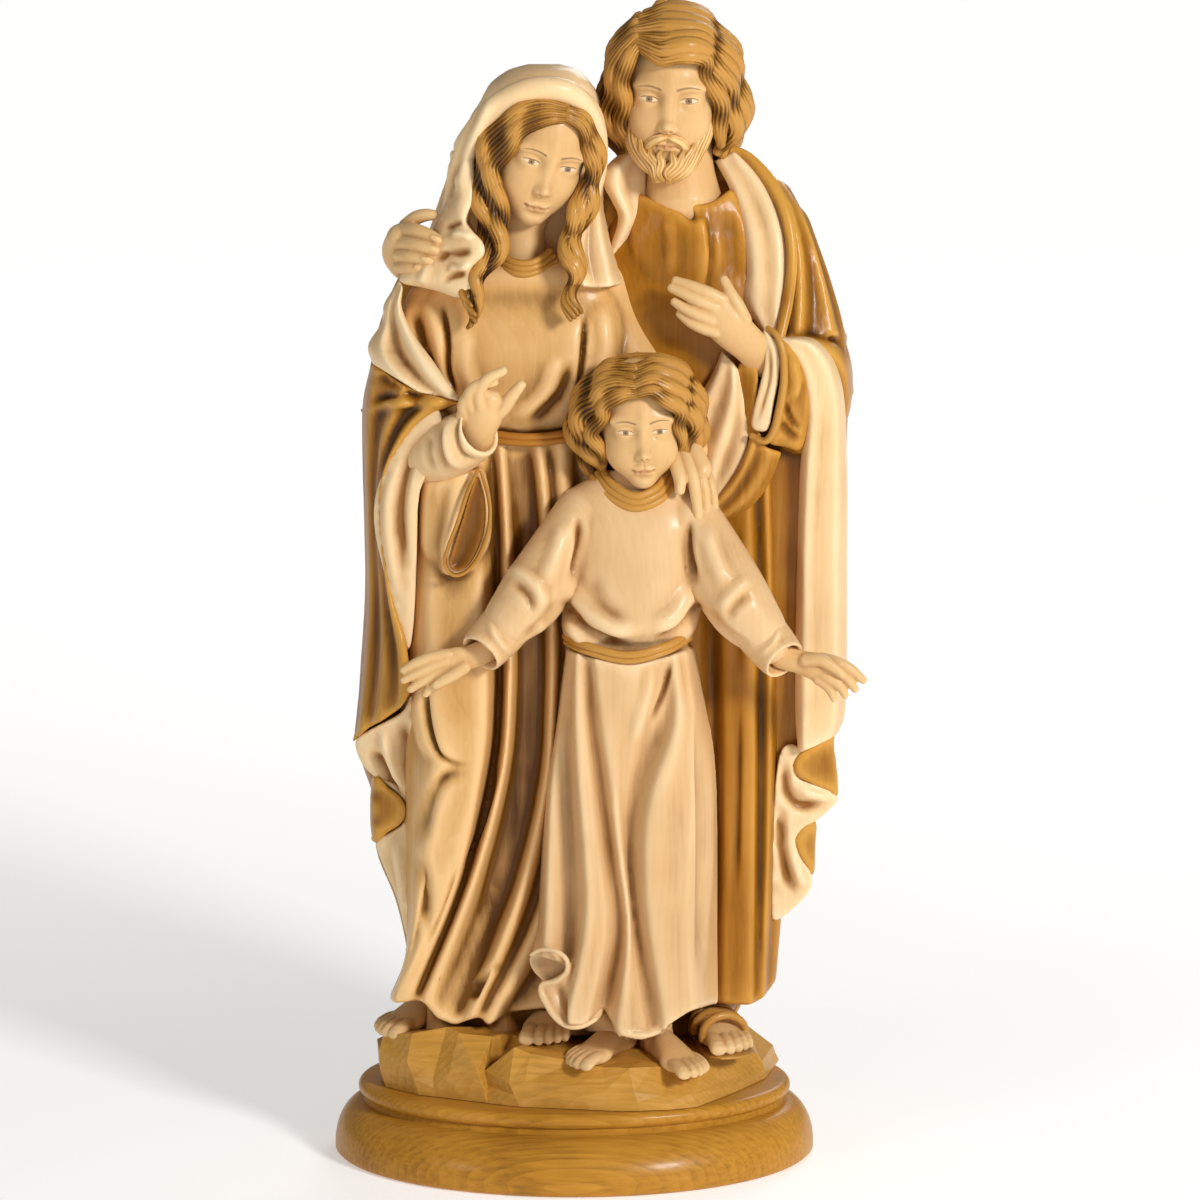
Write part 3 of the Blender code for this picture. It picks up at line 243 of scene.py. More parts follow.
def drape(name, lines, thickness, rows=110, per=12, voxel=GARMENT_GRAIN):
    """Cloth hung between drawn fold lines, from the left edge to the right one.

    Each line is (kind, points of (x, y, depth)) from the top to the hem. A crest is round, a
    valley is a sharp crease, a hollow is a soft valley and an edge ends the cloth.
    """
    paths = []
    for kind, points in lines:
        path = curve(points, 12)
        run = np.concatenate(((0,), np.cumsum(np.linalg.norm(np.diff(path[:, :2], axis=0), axis=1))))
        share = np.linspace(0, run[-1], rows)
        paths.append(np.stack([np.interp(share, run, path[:, k]) for k in range(3)], axis=1))
    columns = []
    for (left_kind, _), (right_kind, _), left, right in zip(lines, lines[1:], paths, paths[1:]):
        for u in np.linspace(0, 1, per, endpoint=False):
            flat_start = left_kind != "valley"
            flat_end = right_kind not in ("valley", "edge")
            if flat_start and flat_end:
                bend = 0.5 - 0.5 * math.cos(math.pi * u)
            elif flat_start and left_kind != "edge":
                bend = 1 - math.cos(math.pi / 2 * u)
            elif flat_end:
                bend = math.sin(math.pi / 2 * u)
            else:
                bend = u
            if left_kind == "edge" and flat_end:
                bend = math.sin(math.pi / 2 * u) ** 0.8
            line = left + (right - left) * u
            line[:, 2] = left[:, 2] + (right[:, 2] - left[:, 2]) * bend
            columns.append(line)
    columns.append(paths[-1])
    front = np.array(columns).transpose(1, 0, 2)
    across = front.shape[1]
    back = front - (0, 0, thickness)
    points = place(np.concatenate((front, back)).reshape(-1, 3))
    half = rows * across
    faces = []
    for r in range(rows - 1):
        for k in range(across - 1):
            a = r * across + k
            faces.append((a, a + 1, a + across + 1, a + across))
            faces.append((half + a, half + a + across, half + a + across + 1, half + a + 1))
    rim = [*range(across)]
    rim += [r * across + across - 1 for r in range(1, rows)]
    rim += [(rows - 1) * across + k for k in range(across - 2, -1, -1)]
    rim += [r * across for r in range(rows - 2, 0, -1)]
    for a, b in zip(rim, rim[1:] + rim[:1]):
        faces.append((a, half + a, half + b, b))
    return remeshed(mesh_object(name, points, faces), voxel, 5)


def remeshed(thing, voxel, smoothing=0, factor=0.5):
    """The object's mesh made even by a voxel remesh, then smoothed."""
    grain = thing.modifiers.new("grain", "REMESH")
    grain.mode = "VOXEL"
    grain.voxel_size = voxel
    if smoothing:
        soften = thing.modifiers.new("soften", "SMOOTH")
        soften.factor = factor
        soften.iterations = smoothing
    return applied(thing)


def applied(thing):
    graph = bpy.context.evaluated_depsgraph_get()
    graph.update()
    mesh = bpy.data.meshes.new_from_object(thing.evaluated_get(graph))
    thing.modifiers.clear()
    thing.data = mesh
    return thing


def joined(name, things):
    """One object holding the meshes of all the things."""
    shape = bmesh.new()
    for thing in things:
        shape.from_mesh(thing.data)
        bpy.data.objects.remove(thing)
    mesh = bpy.data.meshes.new(name)
    shape.to_mesh(mesh)
    shape.free()
    whole = bpy.data.objects.new(name, mesh)
    bpy.context.scene.collection.objects.link(whole)
    return whole


def corners(thing):
    points = np.empty(len(thing.data.vertices) * 3)
    thing.data.vertices.foreach_get("co", points)
    return points.reshape(-1, 3)


def move_corners(thing, points):
    thing.data.vertices.foreach_set("co", np.ascontiguousarray(points).ravel())
    thing.data.update()


def outward(thing):
    normals = np.empty(len(thing.data.vertices) * 3)
    thing.data.vertex_normals.foreach_get("vector", normals)
    return normals.reshape(-1, 3)


def nearest_on_path(xy, path):
    """For each point its distance to the path, its side, and how far along it lies, 0 to 1."""
    start = path[:-1]
    step = path[1:] - start
    length = np.linalg.norm(step, axis=1)
    away = xy[:, None, :] - start[None]
    share = np.clip((away * step).sum(2) / (length**2 + 1e-9), 0, 1)
    gap = away - share[..., None] * step
    distance = np.linalg.norm(gap, axis=2)
    best = distance.argmin(1)
    row = np.arange(len(xy))
    cross = step[best, 0] * away[row, best, 1] - step[best, 1] * away[row, best, 0]
    run = np.concatenate(((0,), np.cumsum(length)))
    along = (run[best] + share[row, best] * length[best]) / run[-1]
    return distance[row, best], np.sign(cross), along


def toward_eye(thing, points):
    """How squarely each corner faces the eye, from -1 to 1."""
    to_eye = EYE - points
    to_eye /= np.linalg.norm(to_eye, axis=1)[:, None]
    return (outward(thing) * to_eye).sum(1)


def carve(thing, strokes):
    """Folds cut into the side that the eye sees.

    Each stroke is (kind, half width, depth, points). A valley is a soft hollow, a crease is a
    sharp cut, a ridge stands up, and a lip stands up on the left of its path and falls off
    sharply to the right.
    """
    points = corners(thing)
    normals = outward(thing)
    drawn = draw(points)
    facing = np.clip((toward_eye(thing, points) + 0.05) / 0.4, 0, 1)
    shift = np.zeros(len(points))
    for kind, half, depth, path in strokes:
        path = curve(path, 5)
        low = path.min(0) - half
        high = path.max(0) + half
        near = np.all((drawn[:, :2] > low) & (drawn[:, :2] < high), axis=1) & (facing > 0)
        if not near.any():
            continue
        distance, side, along = nearest_on_path(drawn[near, :2], path)
        taper = np.clip(np.minimum(along, 1 - along) / 0.3, 0, 1)
        taper = taper * taper * (3 - 2 * taper)
        share = np.clip(1 - distance / half, 0, 1)
        smooth = share * share * (3 - 2 * share)
        if kind == "valley":
            form = -smooth
        elif kind == "crease":
            form = -(share**1.6)
        elif kind == "ridge":
            form = smooth
        else:
            rise = np.clip(1 - distance / (0.2 * half), 0, 1) * 0.5
            form = np.where(side < 0, smooth, rise)
        shift[near] += form * taper * depth
    move_corners(thing, points + normals * (shift * UNIT * facing)[:, None])
    return thing


def pleats(thing, centre, folds, depth, top, bottom, lean=0.6):
    """Long hanging folds on the sides and the back, which the eye does not see."""
    points = corners(thing)
    normals = outward(thing)
    hidden = np.clip((0.12 - toward_eye(thing, points)) / 0.5, 0, 1)
    middle = place((centre[0], 600.0, centre[1]))
    turn = np.arctan2(points[:, 1] - middle[1], points[:, 0] - middle[0])
    rise = np.clip((points[:, 2] / UNIT - bottom) / (top - bottom), 0, 1)
    wander = lean * np.sin(3.1 * rise + 2.0 * turn)
    wave = np.cos(folds * turn + wander * 2) * 0.65 + np.cos(1.7 * folds * turn - wander * 3) * 0.35
    wave = np.sign(wave) * np.abs(wave) ** 0.8
    fade = np.clip((1 - rise) / 0.45, 0, 1) ** 0.7
    level = np.abs(normals[:, 2]) < 0.8
    move_corners(thing, points + normals * (wave * fade * hidden * level * depth * UNIT)[:, None])
    return thing


def gouge_marks(thing, top, bottom, left, right, depth):
    """Short scooped cuts of a flat gouge, left on part of a cloth."""
    points = corners(thing)
    normals = outward(thing)
    drawn = draw(points)
    fade_y = np.clip((bottom - drawn[:, 1]) / 40, 0, 1) * np.clip((drawn[:, 1] - top) / 16, 0, 1)
    fade_x = np.clip((drawn[:, 0] - left) / 10, 0, 1) * np.clip((right - drawn[:, 0]) / 10, 0, 1)
    fade = fade_x * fade_y * np.clip(toward_eye(thing, points) * 2, 0, 1)
    cells_x = drawn[:, 0] / 8.0 + 0.9 * np.sin(drawn[:, 1] / 23.0) + 0.4 * np.sin(drawn[:, 1] / 7.0)
    cells_y = drawn[:, 1] / 15.0 + 0.37 * np.floor(cells_x) ** 2
    scoop = ((cells_x % 1.0) - 0.5) ** 2 * 4 + ((cells_y % 1.0) - 0.5) ** 2 * 2.4
    move_corners(thing, points + normals * (fade * (scoop - 0.6) * depth * UNIT)[:, None])


# Materials


def linear(hex_colour):
    """An sRGB hex colour as the linear values that a shader takes."""
    parts = [int(hex_colour[i : i + 2], 16) / 255 for i in (0, 2, 4)]
    values = [c / 12.92 if c <= 0.04045 else ((c + 0.055) / 1.055) ** 2.4 for c in parts]
    return (*values, 1.0)


def add_node(tree, kind, settings=(), **links):
    """A node with its settings; a link is an output socket, anything else a socket's own value."""
    node = tree.nodes.new(kind)
    for key, value in dict(settings).items():
        setattr(node, key, value)
    for key, value in links.items():
        socket = node.inputs[int(key[1:])] if key[1:].isdigit() else node.inputs[key.replace("_", " ")]
        if isinstance(value, bpy.types.NodeSocket):
            tree.links.new(value, socket)
        else:
            socket.default_value = value
    return node


RING_SPACING = 0.0032  # the yearly rings of limewood, as wide as they show
PORE_LENGTH = 0.006
GOUGE_WIDTH = 0.0022  # width of a small gouge's cut


def stained_wood(name, ridge, body, deep, roughness=0.34, gouge=0.25, grain=0.5, lengthwise="Z"):
    """Limewood carved with gouges, stained, wiped back and waxed.

    The colour runs from the deep stop in the hollows to the ridge stop on the ridges. This is partly
    the stain, which stays dark in the hollows and is wiped light on the ridges, and partly painted
    shade in the hollows and painted highlight on the ridges. The fine grain shows through it in long
    soft streaks.
    """
    material = bpy.data.materials.new(name)
    material.use_nodes = True
    tree = material.node_tree
    shader = tree.nodes["Principled BSDF"]
    place_node = add_node(tree, "ShaderNodeTexCoord").outputs["Object"]
    long_way = (1.0, 1.0, 0.06) if lengthwise == "Z" else (0.06, 1.0, 1.0)
    tilt = (0.05, 0.09, 0.0) if lengthwise == "Z" else (0.0, 0.03, 0.06)
    mapped = add_node(
        tree,
        "ShaderNodeMapping",
        Vector=place_node,
        Scale=long_way,
        Rotation=tilt,
        Location=(0.11, 0.23, 0.0),
    ).outputs["Vector"]
    rings = add_node(
        tree,
        "ShaderNodeTexWave",
        {"wave_type": "RINGS", "rings_direction": lengthwise, "wave_profile": "SAW"},
        Vector=mapped,
        Scale=0.314 / RING_SPACING,
        Distortion=5.0,
        Detail=2.0,
        Detail_Scale=0.7,
    ).outputs["Fac"]
    streaks = add_node(
        tree, "ShaderNodeTexNoise", Vector=mapped, Scale=1 / GOUGE_WIDTH, Detail=4.0, Roughness=0.6
    ).outputs["Fac"]
    patches = add_node(tree, "ShaderNodeTexNoise", Vector=place_node, Scale=22.0, Detail=3.0).outputs["Fac"]
    # The hollow attribute darkens the hollows and lightens the ridges: partly the stain, partly painted shade and
    # painted highlight.
    hollow = add_node(tree, "ShaderNodeAttribute", {"attribute_name": "hollow"}).outputs["Fac"]
    tone = add_node(tree, "ShaderNodeMath", {"operation": "MULTIPLY_ADD"}, _0=patches, _1=0.46, _2=-0.23)
    tone = add_node(tree, "ShaderNodeMath", {"operation": "ADD"}, _0=tone.outputs[0], _1=hollow)
    streak_tone = add_node(
        tree, "ShaderNodeMath", {"operation": "MULTIPLY_ADD"}, _0=streaks, _1=0.5 * grain, _2=-0.25 * grain
    )
    tone = add_node(
        tree, "ShaderNodeMath", {"operation": "ADD"}, _0=tone.outputs[0], _1=streak_tone.outputs[0]
    )
    ring_tone = add_node(
        tree, "ShaderNodeMath", {"operation": "MULTIPLY_ADD"}, _0=rings, _1=0.10 * grain, _2=-0.05 * grain
    )
    tone = add_node(
        tree, "ShaderNodeMath", {"operation": "ADD"}, _0=tone.outputs[0], _1=ring_tone.outputs[0]
    )
    ramp = add_node(tree, "ShaderNodeValToRGB", _0=tone.outputs[0])
    stops = ramp.color_ramp
    stops.elements[0].position = 0.12
    stops.elements[0].color = linear(deep)
    stops.elements[1].position = 0.88
    stops.elements[1].color = linear(ridge)
    middle = stops.elements.new(0.5)
    middle.color = linear(body)
    cuts = add_node(
        tree, "ShaderNodeTexNoise", Vector=mapped, Scale=0.6 / GOUGE_WIDTH, Detail=1.0, Distortion=0.4
    )
    bump = add_node(
        tree,
        "ShaderNodeBump",
        Height=cuts.outputs["Fac"],
        Strength=gouge,
        Distance=0.0006,
    )
    tree.links.new(ramp.outputs["Color"], shader.inputs["Base Color"])
    tree.links.new(bump.outputs["Normal"], shader.inputs["Normal"])
    shader.inputs["Roughness"].default_value = roughness
    shader.inputs["IOR"].default_value = 1.4
    shader.inputs["Specular IOR Level"].default_value = 0.22
    shader.inputs["Coat Weight"].default_value = 0.08
    shader.inputs["Coat Roughness"].default_value = 0.14
    return material


def painted_skin(name, ridge, body, deep):
    """Light skin wood with the brows, irises and lips touched in with thin stain."""
    material = stained_wood(name, ridge, body, deep, roughness=0.38, gouge=0.05, grain=0.2)
    tree = material.node_tree
    shader = tree.nodes["Principled BSDF"]
    base = shader.inputs["Base Color"].links[0].from_socket
    paint = add_node(tree, "ShaderNodeAttribute", {"attribute_name": "paint"}).outputs["Color"]
    split = add_node(tree, "ShaderNodeSeparateColor", Color=paint)
    for channel, colour in (("Blue", "F2E2C0"), ("Green", "B06C44"), ("Red", "4A2A10")):
        mix = add_node(tree, "ShaderNodeMix", {"data_type": "RGBA"}, _0=split.outputs[channel], _6=base)
        mix.inputs[7].default_value = linear(colour)
        base = mix.outputs[2]
    tree.links.new(base, shader.inputs["Base Color"])
    return material


LIGHT = stained_wood("wiped_limewood", "F0D4A6", "E0BA86", "92602A", gouge=0.14, grain=0.35)
CHILD_ROBE = stained_wood("pale_limewood", "EAC99A", "D5AC79", "8A5A26", gouge=0.12, grain=0.35)
DRESS = stained_wood("honey_stained_limewood", "E8BE84", "CE9F60", "6E4616", gouge=0.16, grain=0.4)
MANTLE = stained_wood("brown_stained_limewood", "C8923E", "98621A", "4A2C0A", gouge=0.3, grain=0.5)
ROBE = stained_wood("walnut_stained_limewood", "CA903C", "A06818", "4A2C08", gouge=0.25, grain=0.5)
HAIR = stained_wood("hair_brown_stain", "BE8A42", "7E5216", "301B04", gouge=0.2, grain=0.4)
BEARD = stained_wood("beard_brown_stain", "E8C084", "B98840", "54340E", gouge=0.15, grain=0.35)
TRIM = stained_wood("trim_brown_stain", "BE8A40", "946222", "42280A", gouge=0.1, grain=0.4)
SKIN = painted_skin("skin_limewood", "E8C894", "D6AC74", "8E5E28")
ROCK = stained_wood("rock_brown_stain", "E4B062", "C08C3A", "5E3E12", gouge=0.4, grain=0.7, lengthwise="X")
PLINTH = stained_wood("plinth_golden_stain", "DCA040", "B8802A", "5C3A0E", gouge=0.03, grain=1.0, lengthwise="X")
# A dark brown painted as shade, used inside the hanging sleeve and on the mother's belt where shade falls.
SHADE = stained_wood("painted_shade_brown", "B0742A", "7E4E14", "3C2408", gouge=0.1, grain=0.4)


def evened(mesh, value, passes):
    """A value of each corner, evened out along the edges."""
    ends = np.empty(len(mesh.edges) * 2, int)
    mesh.edges.foreach_get("vertices", ends)
    first = ends[0::2]
    second = ends[1::2]
    count = len(value)
    degree = np.bincount(first, minlength=count) + np.bincount(second, minlength=count)
    for _ in range(passes):
        total = np.bincount(first, value[second], count) + np.bincount(second, value[first], count)
        value = 0.5 * value + 0.5 * total / np.maximum(degree, 1)
    return value


def finish(thing, name, material, reach=26, gain=0.66, keep=0.18):
    """A finished piece: smooth shading, its hollows measured for the stain and for painted shade and
    highlight, its place in the frame.

    A piece with many facets keeps that share of them, fewer where the wood is nearly flat.
    """
    thing.name = name
    thing.data.name = name
    thing.data.materials.clear()
    thing.data.materials.append(material)
    mesh = thing.data
    mesh.polygons.foreach_set("use_smooth", np.ones(len(mesh.polygons), bool))
    points = corners(thing)
    normals = outward(thing)
    value = np.full(len(points), 0.5)
    # The short reach darkens fine hollows and lightens ridges, partly as stain and partly as painted shade and
    # highlight; the long reach darkens the broad hollows as painted shade with some stain.
    for iterations, weight in ((reach, 0.65 * gain), (reach * 5, 0.22 * gain)):
        twin = bpy.data.objects.new("twin", mesh)
        bpy.context.scene.collection.objects.link(twin)
        even = twin.modifiers.new("even", "SMOOTH")
        even.factor = 0.5
        even.iterations = iterations
        graph = bpy.context.evaluated_depsgraph_get()
        graph.update()
        soft = np.empty(len(points) * 3)
        twin.evaluated_get(graph).data.vertices.foreach_get("co", soft)
        bpy.data.objects.remove(twin)
        sunk = ((soft.reshape(-1, 3) - points) * normals).sum(1) * 1000
        value -= weight * sunk
    if reach > 15:
        value = evened(mesh, value, 6)
    value = np.clip(value, 0.0, 1.0)
    layer = mesh.attributes.new("hollow", "FLOAT", "POINT")
    layer.data.foreach_set("value", value)
    if keep < 1 and len(mesh.loops) > MANY_LOOPS:
        thin = thing.modifiers.new("thin", "DECIMATE")
        thin.ratio = keep
        applied(thing)
        thing.data.name = name
    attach(thing, "root")
    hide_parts("plinth" if material is PLINTH else "figure_group")
    return thing


# Heads


def blend(a, b, soft):
    """Smooth union of two distance fields."""
    share = np.clip(0.5 + 0.5 * (b - a) / soft, 0, 1)
    return b + (a - b) * share - soft * share * (1 - share)


def egg(p, centre, radii):
    q = (p - np.array(centre)) / np.array(radii)
    return (np.linalg.norm(q, axis=-1) - 1) * min(radii)


EYE_SPOT = (0.132, -0.254, 0.487)
EYE_RADIUS = 0.080
EYE_HALF = 0.062
LID = 0.009


def opening(p, age=1.0):
    """How far inside the almond opening between the lids a point is, under 0 outside."""
    across = (np.abs(p[..., 0]) - EYE_SPOT[0]) / EYE_HALF
    arch = np.sqrt(np.clip(1 - across**2, 0, None))
    upper = 0.023 * arch + 0.004 * across
    lower = -0.0145 * arch + 0.004 * across
    height = p[..., 2] - EYE_SPOT[2]
    return np.where(np.abs(across) < 1, np.minimum(upper - height, height - lower), -0.03)


def face_form(p, age):
    """Distance field of a plain head, one unit from chin to crown, its face toward -Y.

    The proportions are the usual drawing rules: eyes half way up, the nose ending a quarter up,
    the mouth a sixth up. The age is 1 for a man, less for a woman and 0 for a small child.
    """
    m = np.stack((np.abs(p[..., 0]), p[..., 1], p[..., 2]), axis=-1)
    young = 1 - age
    form = egg(p, (0, 0.06, 0.62), (0.335, 0.41, 0.38))
    form = blend(form, egg(p, (0, -0.09, 0.36), (0.266 + 0.016 * young, 0.262, 0.30)), 0.12)
    form = blend(form, egg(p, (0, -0.232, 0.10), (0.105 - 0.02 * young, 0.088, 0.080)), 0.12)
    form = blend(form, egg(m, (0.140, -0.205, 0.315 - 0.01 * young), (0.095, 0.085, 0.105)), 0.12)
    form = blend(form, egg(m, (0.092, -0.296, 0.575), (0.105, 0.026 + 0.014 * age, 0.028)), 0.09)
    form = -blend(-form, egg(m, (0.130, -0.382, 0.490), (0.074, 0.058, 0.042)), 0.055)
    lids = EYE_RADIUS + LID * np.clip(-opening(p) / 0.005, 0, 1)
    ball = np.linalg.norm(m - np.array(EYE_SPOT), axis=-1) - lids
    form = blend(form, ball, 0.022)
    bridge = 0.030 + 0.005 * age
    form = blend(form, egg(p, (0, -0.330, 0.425), (bridge, 0.046, 0.135)), 0.055)
    form = blend(form, egg(p, (0, -0.375, 0.318), (0.034 + 0.006 * age, 0.040 + 0.006 * age, 0.034)), 0.04)
    form = blend(form, egg(m, (0.038 + 0.004 * age, -0.345, 0.303), (0.024, 0.034, 0.024)), 0.022)
    form = -blend(-form, egg(m, (0.020, -0.385, 0.284), (0.012, 0.020, 0.008)), 0.010)
    form = blend(form, egg(m, (0.024, -0.328, 0.200), (0.048, 0.024, 0.018)), 0.022)
    form = blend(form, egg(p, (0, -0.322, 0.163), (0.056, 0.028, 0.020)), 0.022)
    form = -blend(-form, egg(p, (0, -0.356, 0.182), (0.072, 0.020, 0.0045)), 0.007)
    form = -blend(-form, egg(m, (0.078, -0.325, 0.182), (0.010, 0.016, 0.009)), 0.012)
    form = -blend(-form, egg(p, (0, -0.350, 0.130), (0.05, 0.018, 0.014)), 0.03)
    form = -blend(-form, egg(p, (0, -0.366, 0.235), (0.010, 0.016, 0.022)), 0.014)
    return form


def face_paint(p):
    """Thin stain on the brows and eyes (red), lips (green) and the whites (blue)."""
    m = np.stack((np.abs(p[..., 0]), p[..., 1], p[..., 2]), axis=-1)
    front = p[..., 1] < -0.2
    along = np.clip((m[..., 0] - 0.052) / 0.160, 0, 1)
    brow_height = 0.562 + 0.020 * np.sin(along * math.pi * 0.9)
    thick = 0.0105 * (1 - 0.65 * along)
    inside = np.clip((m[..., 0] - 0.046) / 0.012, 0, 1) * np.clip((0.218 - m[..., 0]) / 0.02, 0, 1)
    brow = np.clip(1.25 - np.abs(m[..., 2] - brow_height) / thick, 0, 1) * inside * 0.7
    room = opening(p)
    iris_gap = np.hypot(m[..., 0] - EYE_SPOT[0], m[..., 2] - EYE_SPOT[2] - 0.003)
    iris = np.clip((0.0225 - iris_gap) / 0.003, 0, 1) * 0.72
    iris = np.maximum(iris, np.clip((0.0100 - iris_gap) / 0.003, 0, 1))
    iris = np.maximum(iris, np.clip(1 - np.abs(iris_gap - 0.0205) / 0.003, 0, 1) * 0.92)
    seen = np.clip(room / 0.0015, 0, 1)
    lash = np.clip(1.1 - np.abs(room - 0.001) / 0.0045, 0, 1) * (m[..., 2] > EYE_SPOT[2]) * 0.9
    lash = np.maximum(lash, np.clip(1 - np.abs(room) / 0.003, 0, 1) * 0.4)
    lash *= np.abs(m[..., 0] - EYE_SPOT[0]) < EYE_HALF * 1.02
    brown = np.maximum(np.maximum(brow, iris * seen), lash) * front
    lips = egg(p, (0, -0.325, 0.181), (0.074, 0.06, 0.029))
    rose = np.clip(-lips / 0.006, 0, 1) * front * 0.5
    white = seen * front * 0.45
    return np.stack((brown, rose, white, np.ones_like(brown)), axis=-1)


class Head:
    """A head drawn at a centre, with its height in sheet units and its angles in degrees."""

    def __init__(self, centre, height, lean=0.0, turn=0.0, nod=0.0, age=1.0):
        spin = (
            Matrix.Rotation(math.radians(lean), 3, "Y")
            @ Matrix.Rotation(math.radians(turn), 3, "Z")
            @ Matrix.Rotation(math.radians(nod), 3, "X")
        )
        self.spin = np.array(spin)
        self.scale = height * UNIT
        self.centre = place(centre)
        self.age = age

    def spots(self, local):
        """World places of head points: x across, y back, z up from the chin, in head heights."""
        return (np.asarray(local) - (0, 0, 0.48)) @ self.spin.T * self.scale + self.centre

    def build(self, name, around=220, rows=190):
        share = np.linspace(0, 1, around, endpoint=False)
        azimuth = 2 * math.pi * (share - 0.095 * np.sin(2 * math.pi * share))
        level = np.linspace(0, 1, rows + 1)[1:-1]
        rise = math.pi * (level + 0.05 * np.sin(2 * math.pi * level))
        heading = np.empty((rows - 1, around, 3))
        heading[..., 0] = np.sin(rise)[:, None] * np.sin(azimuth)
        heading[..., 1] = np.sin(rise)[:, None] * -np.cos(azimuth)
        heading[..., 2] = np.cos(rise)[:, None]
        middle = np.array((0.0, 0.0, 0.48))
        near = np.zeros(heading.shape[:2])
        far = np.ones(heading.shape[:2])
        for _ in range(20):
            reach = (near + far) / 2
            inside = face_form(middle + heading * reach[..., None], self.age) < 0
            near = np.where(inside, reach, near)
            far = np.where(inside, far, reach)
        local = middle + heading * near[..., None]
        thing = loft(name, self.spots(local))
        paint = face_paint(local).reshape(-1, 4)
        ends = np.zeros((2, 4))
        layer = thing.data.attributes.new("paint", "FLOAT_COLOR", "POINT")
        layer.data.foreach_set("color", np.vstack((paint, ends)).ravel())
        return finish(thing, name, SKIN, reach=10, gain=0.55, keep=1.0)

    def locks(self, name, guides, count, wave=0.0, around=20, flutes=4, groove=0.13):
        """Locks between guide paths given in head heights, each point (x, y, z, radius)."""
        guides = np.array(guides, float)
        rows, knots, _ = guides.shape
        across = curve(guides.reshape(rows, -1), 12).reshape(-1, knots, 4)
        made = []
        for i in range(count):
            path = curve(across[round(i * (len(across) - 1) / max(count - 1, 1))], 6)
            run = np.linspace(0, 1, len(path))
            path[:, 0] += np.sin(run * 9 + 0.8 * i) * wave * run
            path[:, 1] -= 0.006 * (i % 2)
            centre = self.spots(path[:, :3])
            radius = path[:, 3] * self.scale
            made.append(limb(f"{name}_{i}", centre, radius, around=around, flutes=flutes, groove=groove))
        return made


def skin_piece(name, parts, voxel=SKIN_GRAIN):
    """Hands and feet: the parts grown together, with no face paint."""
    thing = remeshed(joined(name, parts), voxel, 2, 0.4)
    return finish(thing, name, SKIN, reach=16, gain=0.8, keep=0.27)


def nail(name, x, y, depth, angle, size=3.4):
    """A small raised nail drawn at a fingertip, its length along the angle."""
    half = size * 1.25
    step_x = math.cos(math.radians(angle)) * half
    step_y = math.sin(math.radians(angle)) * half
    path = [
        (x - step_x, y - step_y, depth, size * 0.8),
        (x, y, depth + 0.8, size),
        (x + step_x, y + step_y, depth, size * 0.85),
    ]
    return tube(name, path, around=10, flat=0.4)


# The mother


def mother_mantle():
    back = column(
        "mantle_back",
        [
            (220, 446, 604, -4, -78),
            (262, 408, 620, 0, -88),
            (300, 388, 628, 8, -94),
            (345, 374, 632, 16, -96),
            (404, 366, 634, 18, -96),
            (520, 365, 622, 18, -92),
            (600, 364, 618, 18, -94),
            (680, 359, 616, 20, -96),
            (745, 357, 616, 20, -98),
            (800, 376, 616, 18, -98),
            (850, 380, 612, 16, -96),
            (900, 400, 606, 14, -94),
            (960, 412, 600, 12, -92),
            (1010, 410, 596, 10, -88),
            (1040, 420, 590, 10, -84),
        ],
    )
    over_arm = drape(
        "mantle_over_arm",
        [
            (
                "edge",
                [(372, 362, 34), (364, 400, 24), (363, 440, 18), (365, 520, 14), (366, 600, 14), (361, 680, 18), (355, 742, 28)],
            ),
            (
                "crest",
                [(380, 368, 60), (374, 400, 50), (370, 450, 40), (371, 530, 36), (372, 610, 38), (368, 680, 42), (362, 733, 48)],
            ),
            (
                "valley",
                [(392, 376, 66), (388, 398, 58), (377, 440, 42), (374, 530, 32), (377, 610, 36), (376, 670, 44), (370, 727, 50)],
            ),
            (
                "crest",
                [(404, 384, 88), (400, 402, 84), (386, 436, 66), (377, 500, 50), (383, 590, 56), (386, 660, 64), (382, 721, 66)],
            ),
            (
                "hollow",
                [(422, 391, 86), (414, 404, 80), (394, 436, 64), (379, 498, 46), (388, 600, 54), (394, 660, 64), (392, 714, 70)],
            ),
            (
                "crest",
                [(444, 399, 102), (428, 410, 98), (400, 438, 84), (378, 494, 68), (386, 590, 72), (400, 650, 84), (403, 706, 84)],
            ),
            (
                "edge",
                [(464, 402, 98), (440, 411, 92), (412, 431, 82), (383, 486, 66), (392, 590, 70), (406, 640, 80), (412, 690, 82)],
            ),
        ],
        52,
    )
    carve(
        over_arm,
        [
            ("valley", 9, 7, [(372, 384), (386, 378), (408, 390), (428, 400)]),
            ("ridge", 8, 6, [(364, 414), (388, 404), (420, 402), (452, 403)]),
            ("crease", 5, 5, [(368, 402), (392, 396), (424, 398)]),
        ],
    )
    tucked = slab(
        "mantle_tucked",
        [
            (374, 776, 30),
            (388, 787, 40),
            (400, 796, 50),
            (407, 810, 54),
            (401, 824, 50),
            (388, 832, 40),
            (374, 841, 30),
        ],
        30,
        bulge=2,
    )
    thing = remeshed(joined("mantle", [back, over_arm, tucked]), GARMENT_GRAIN, 4)
    pleats(thing, (495, -20), 9, 9, 900, 80)
    return finish(thing, "mother_mantle", MANTLE, gain=0.9)


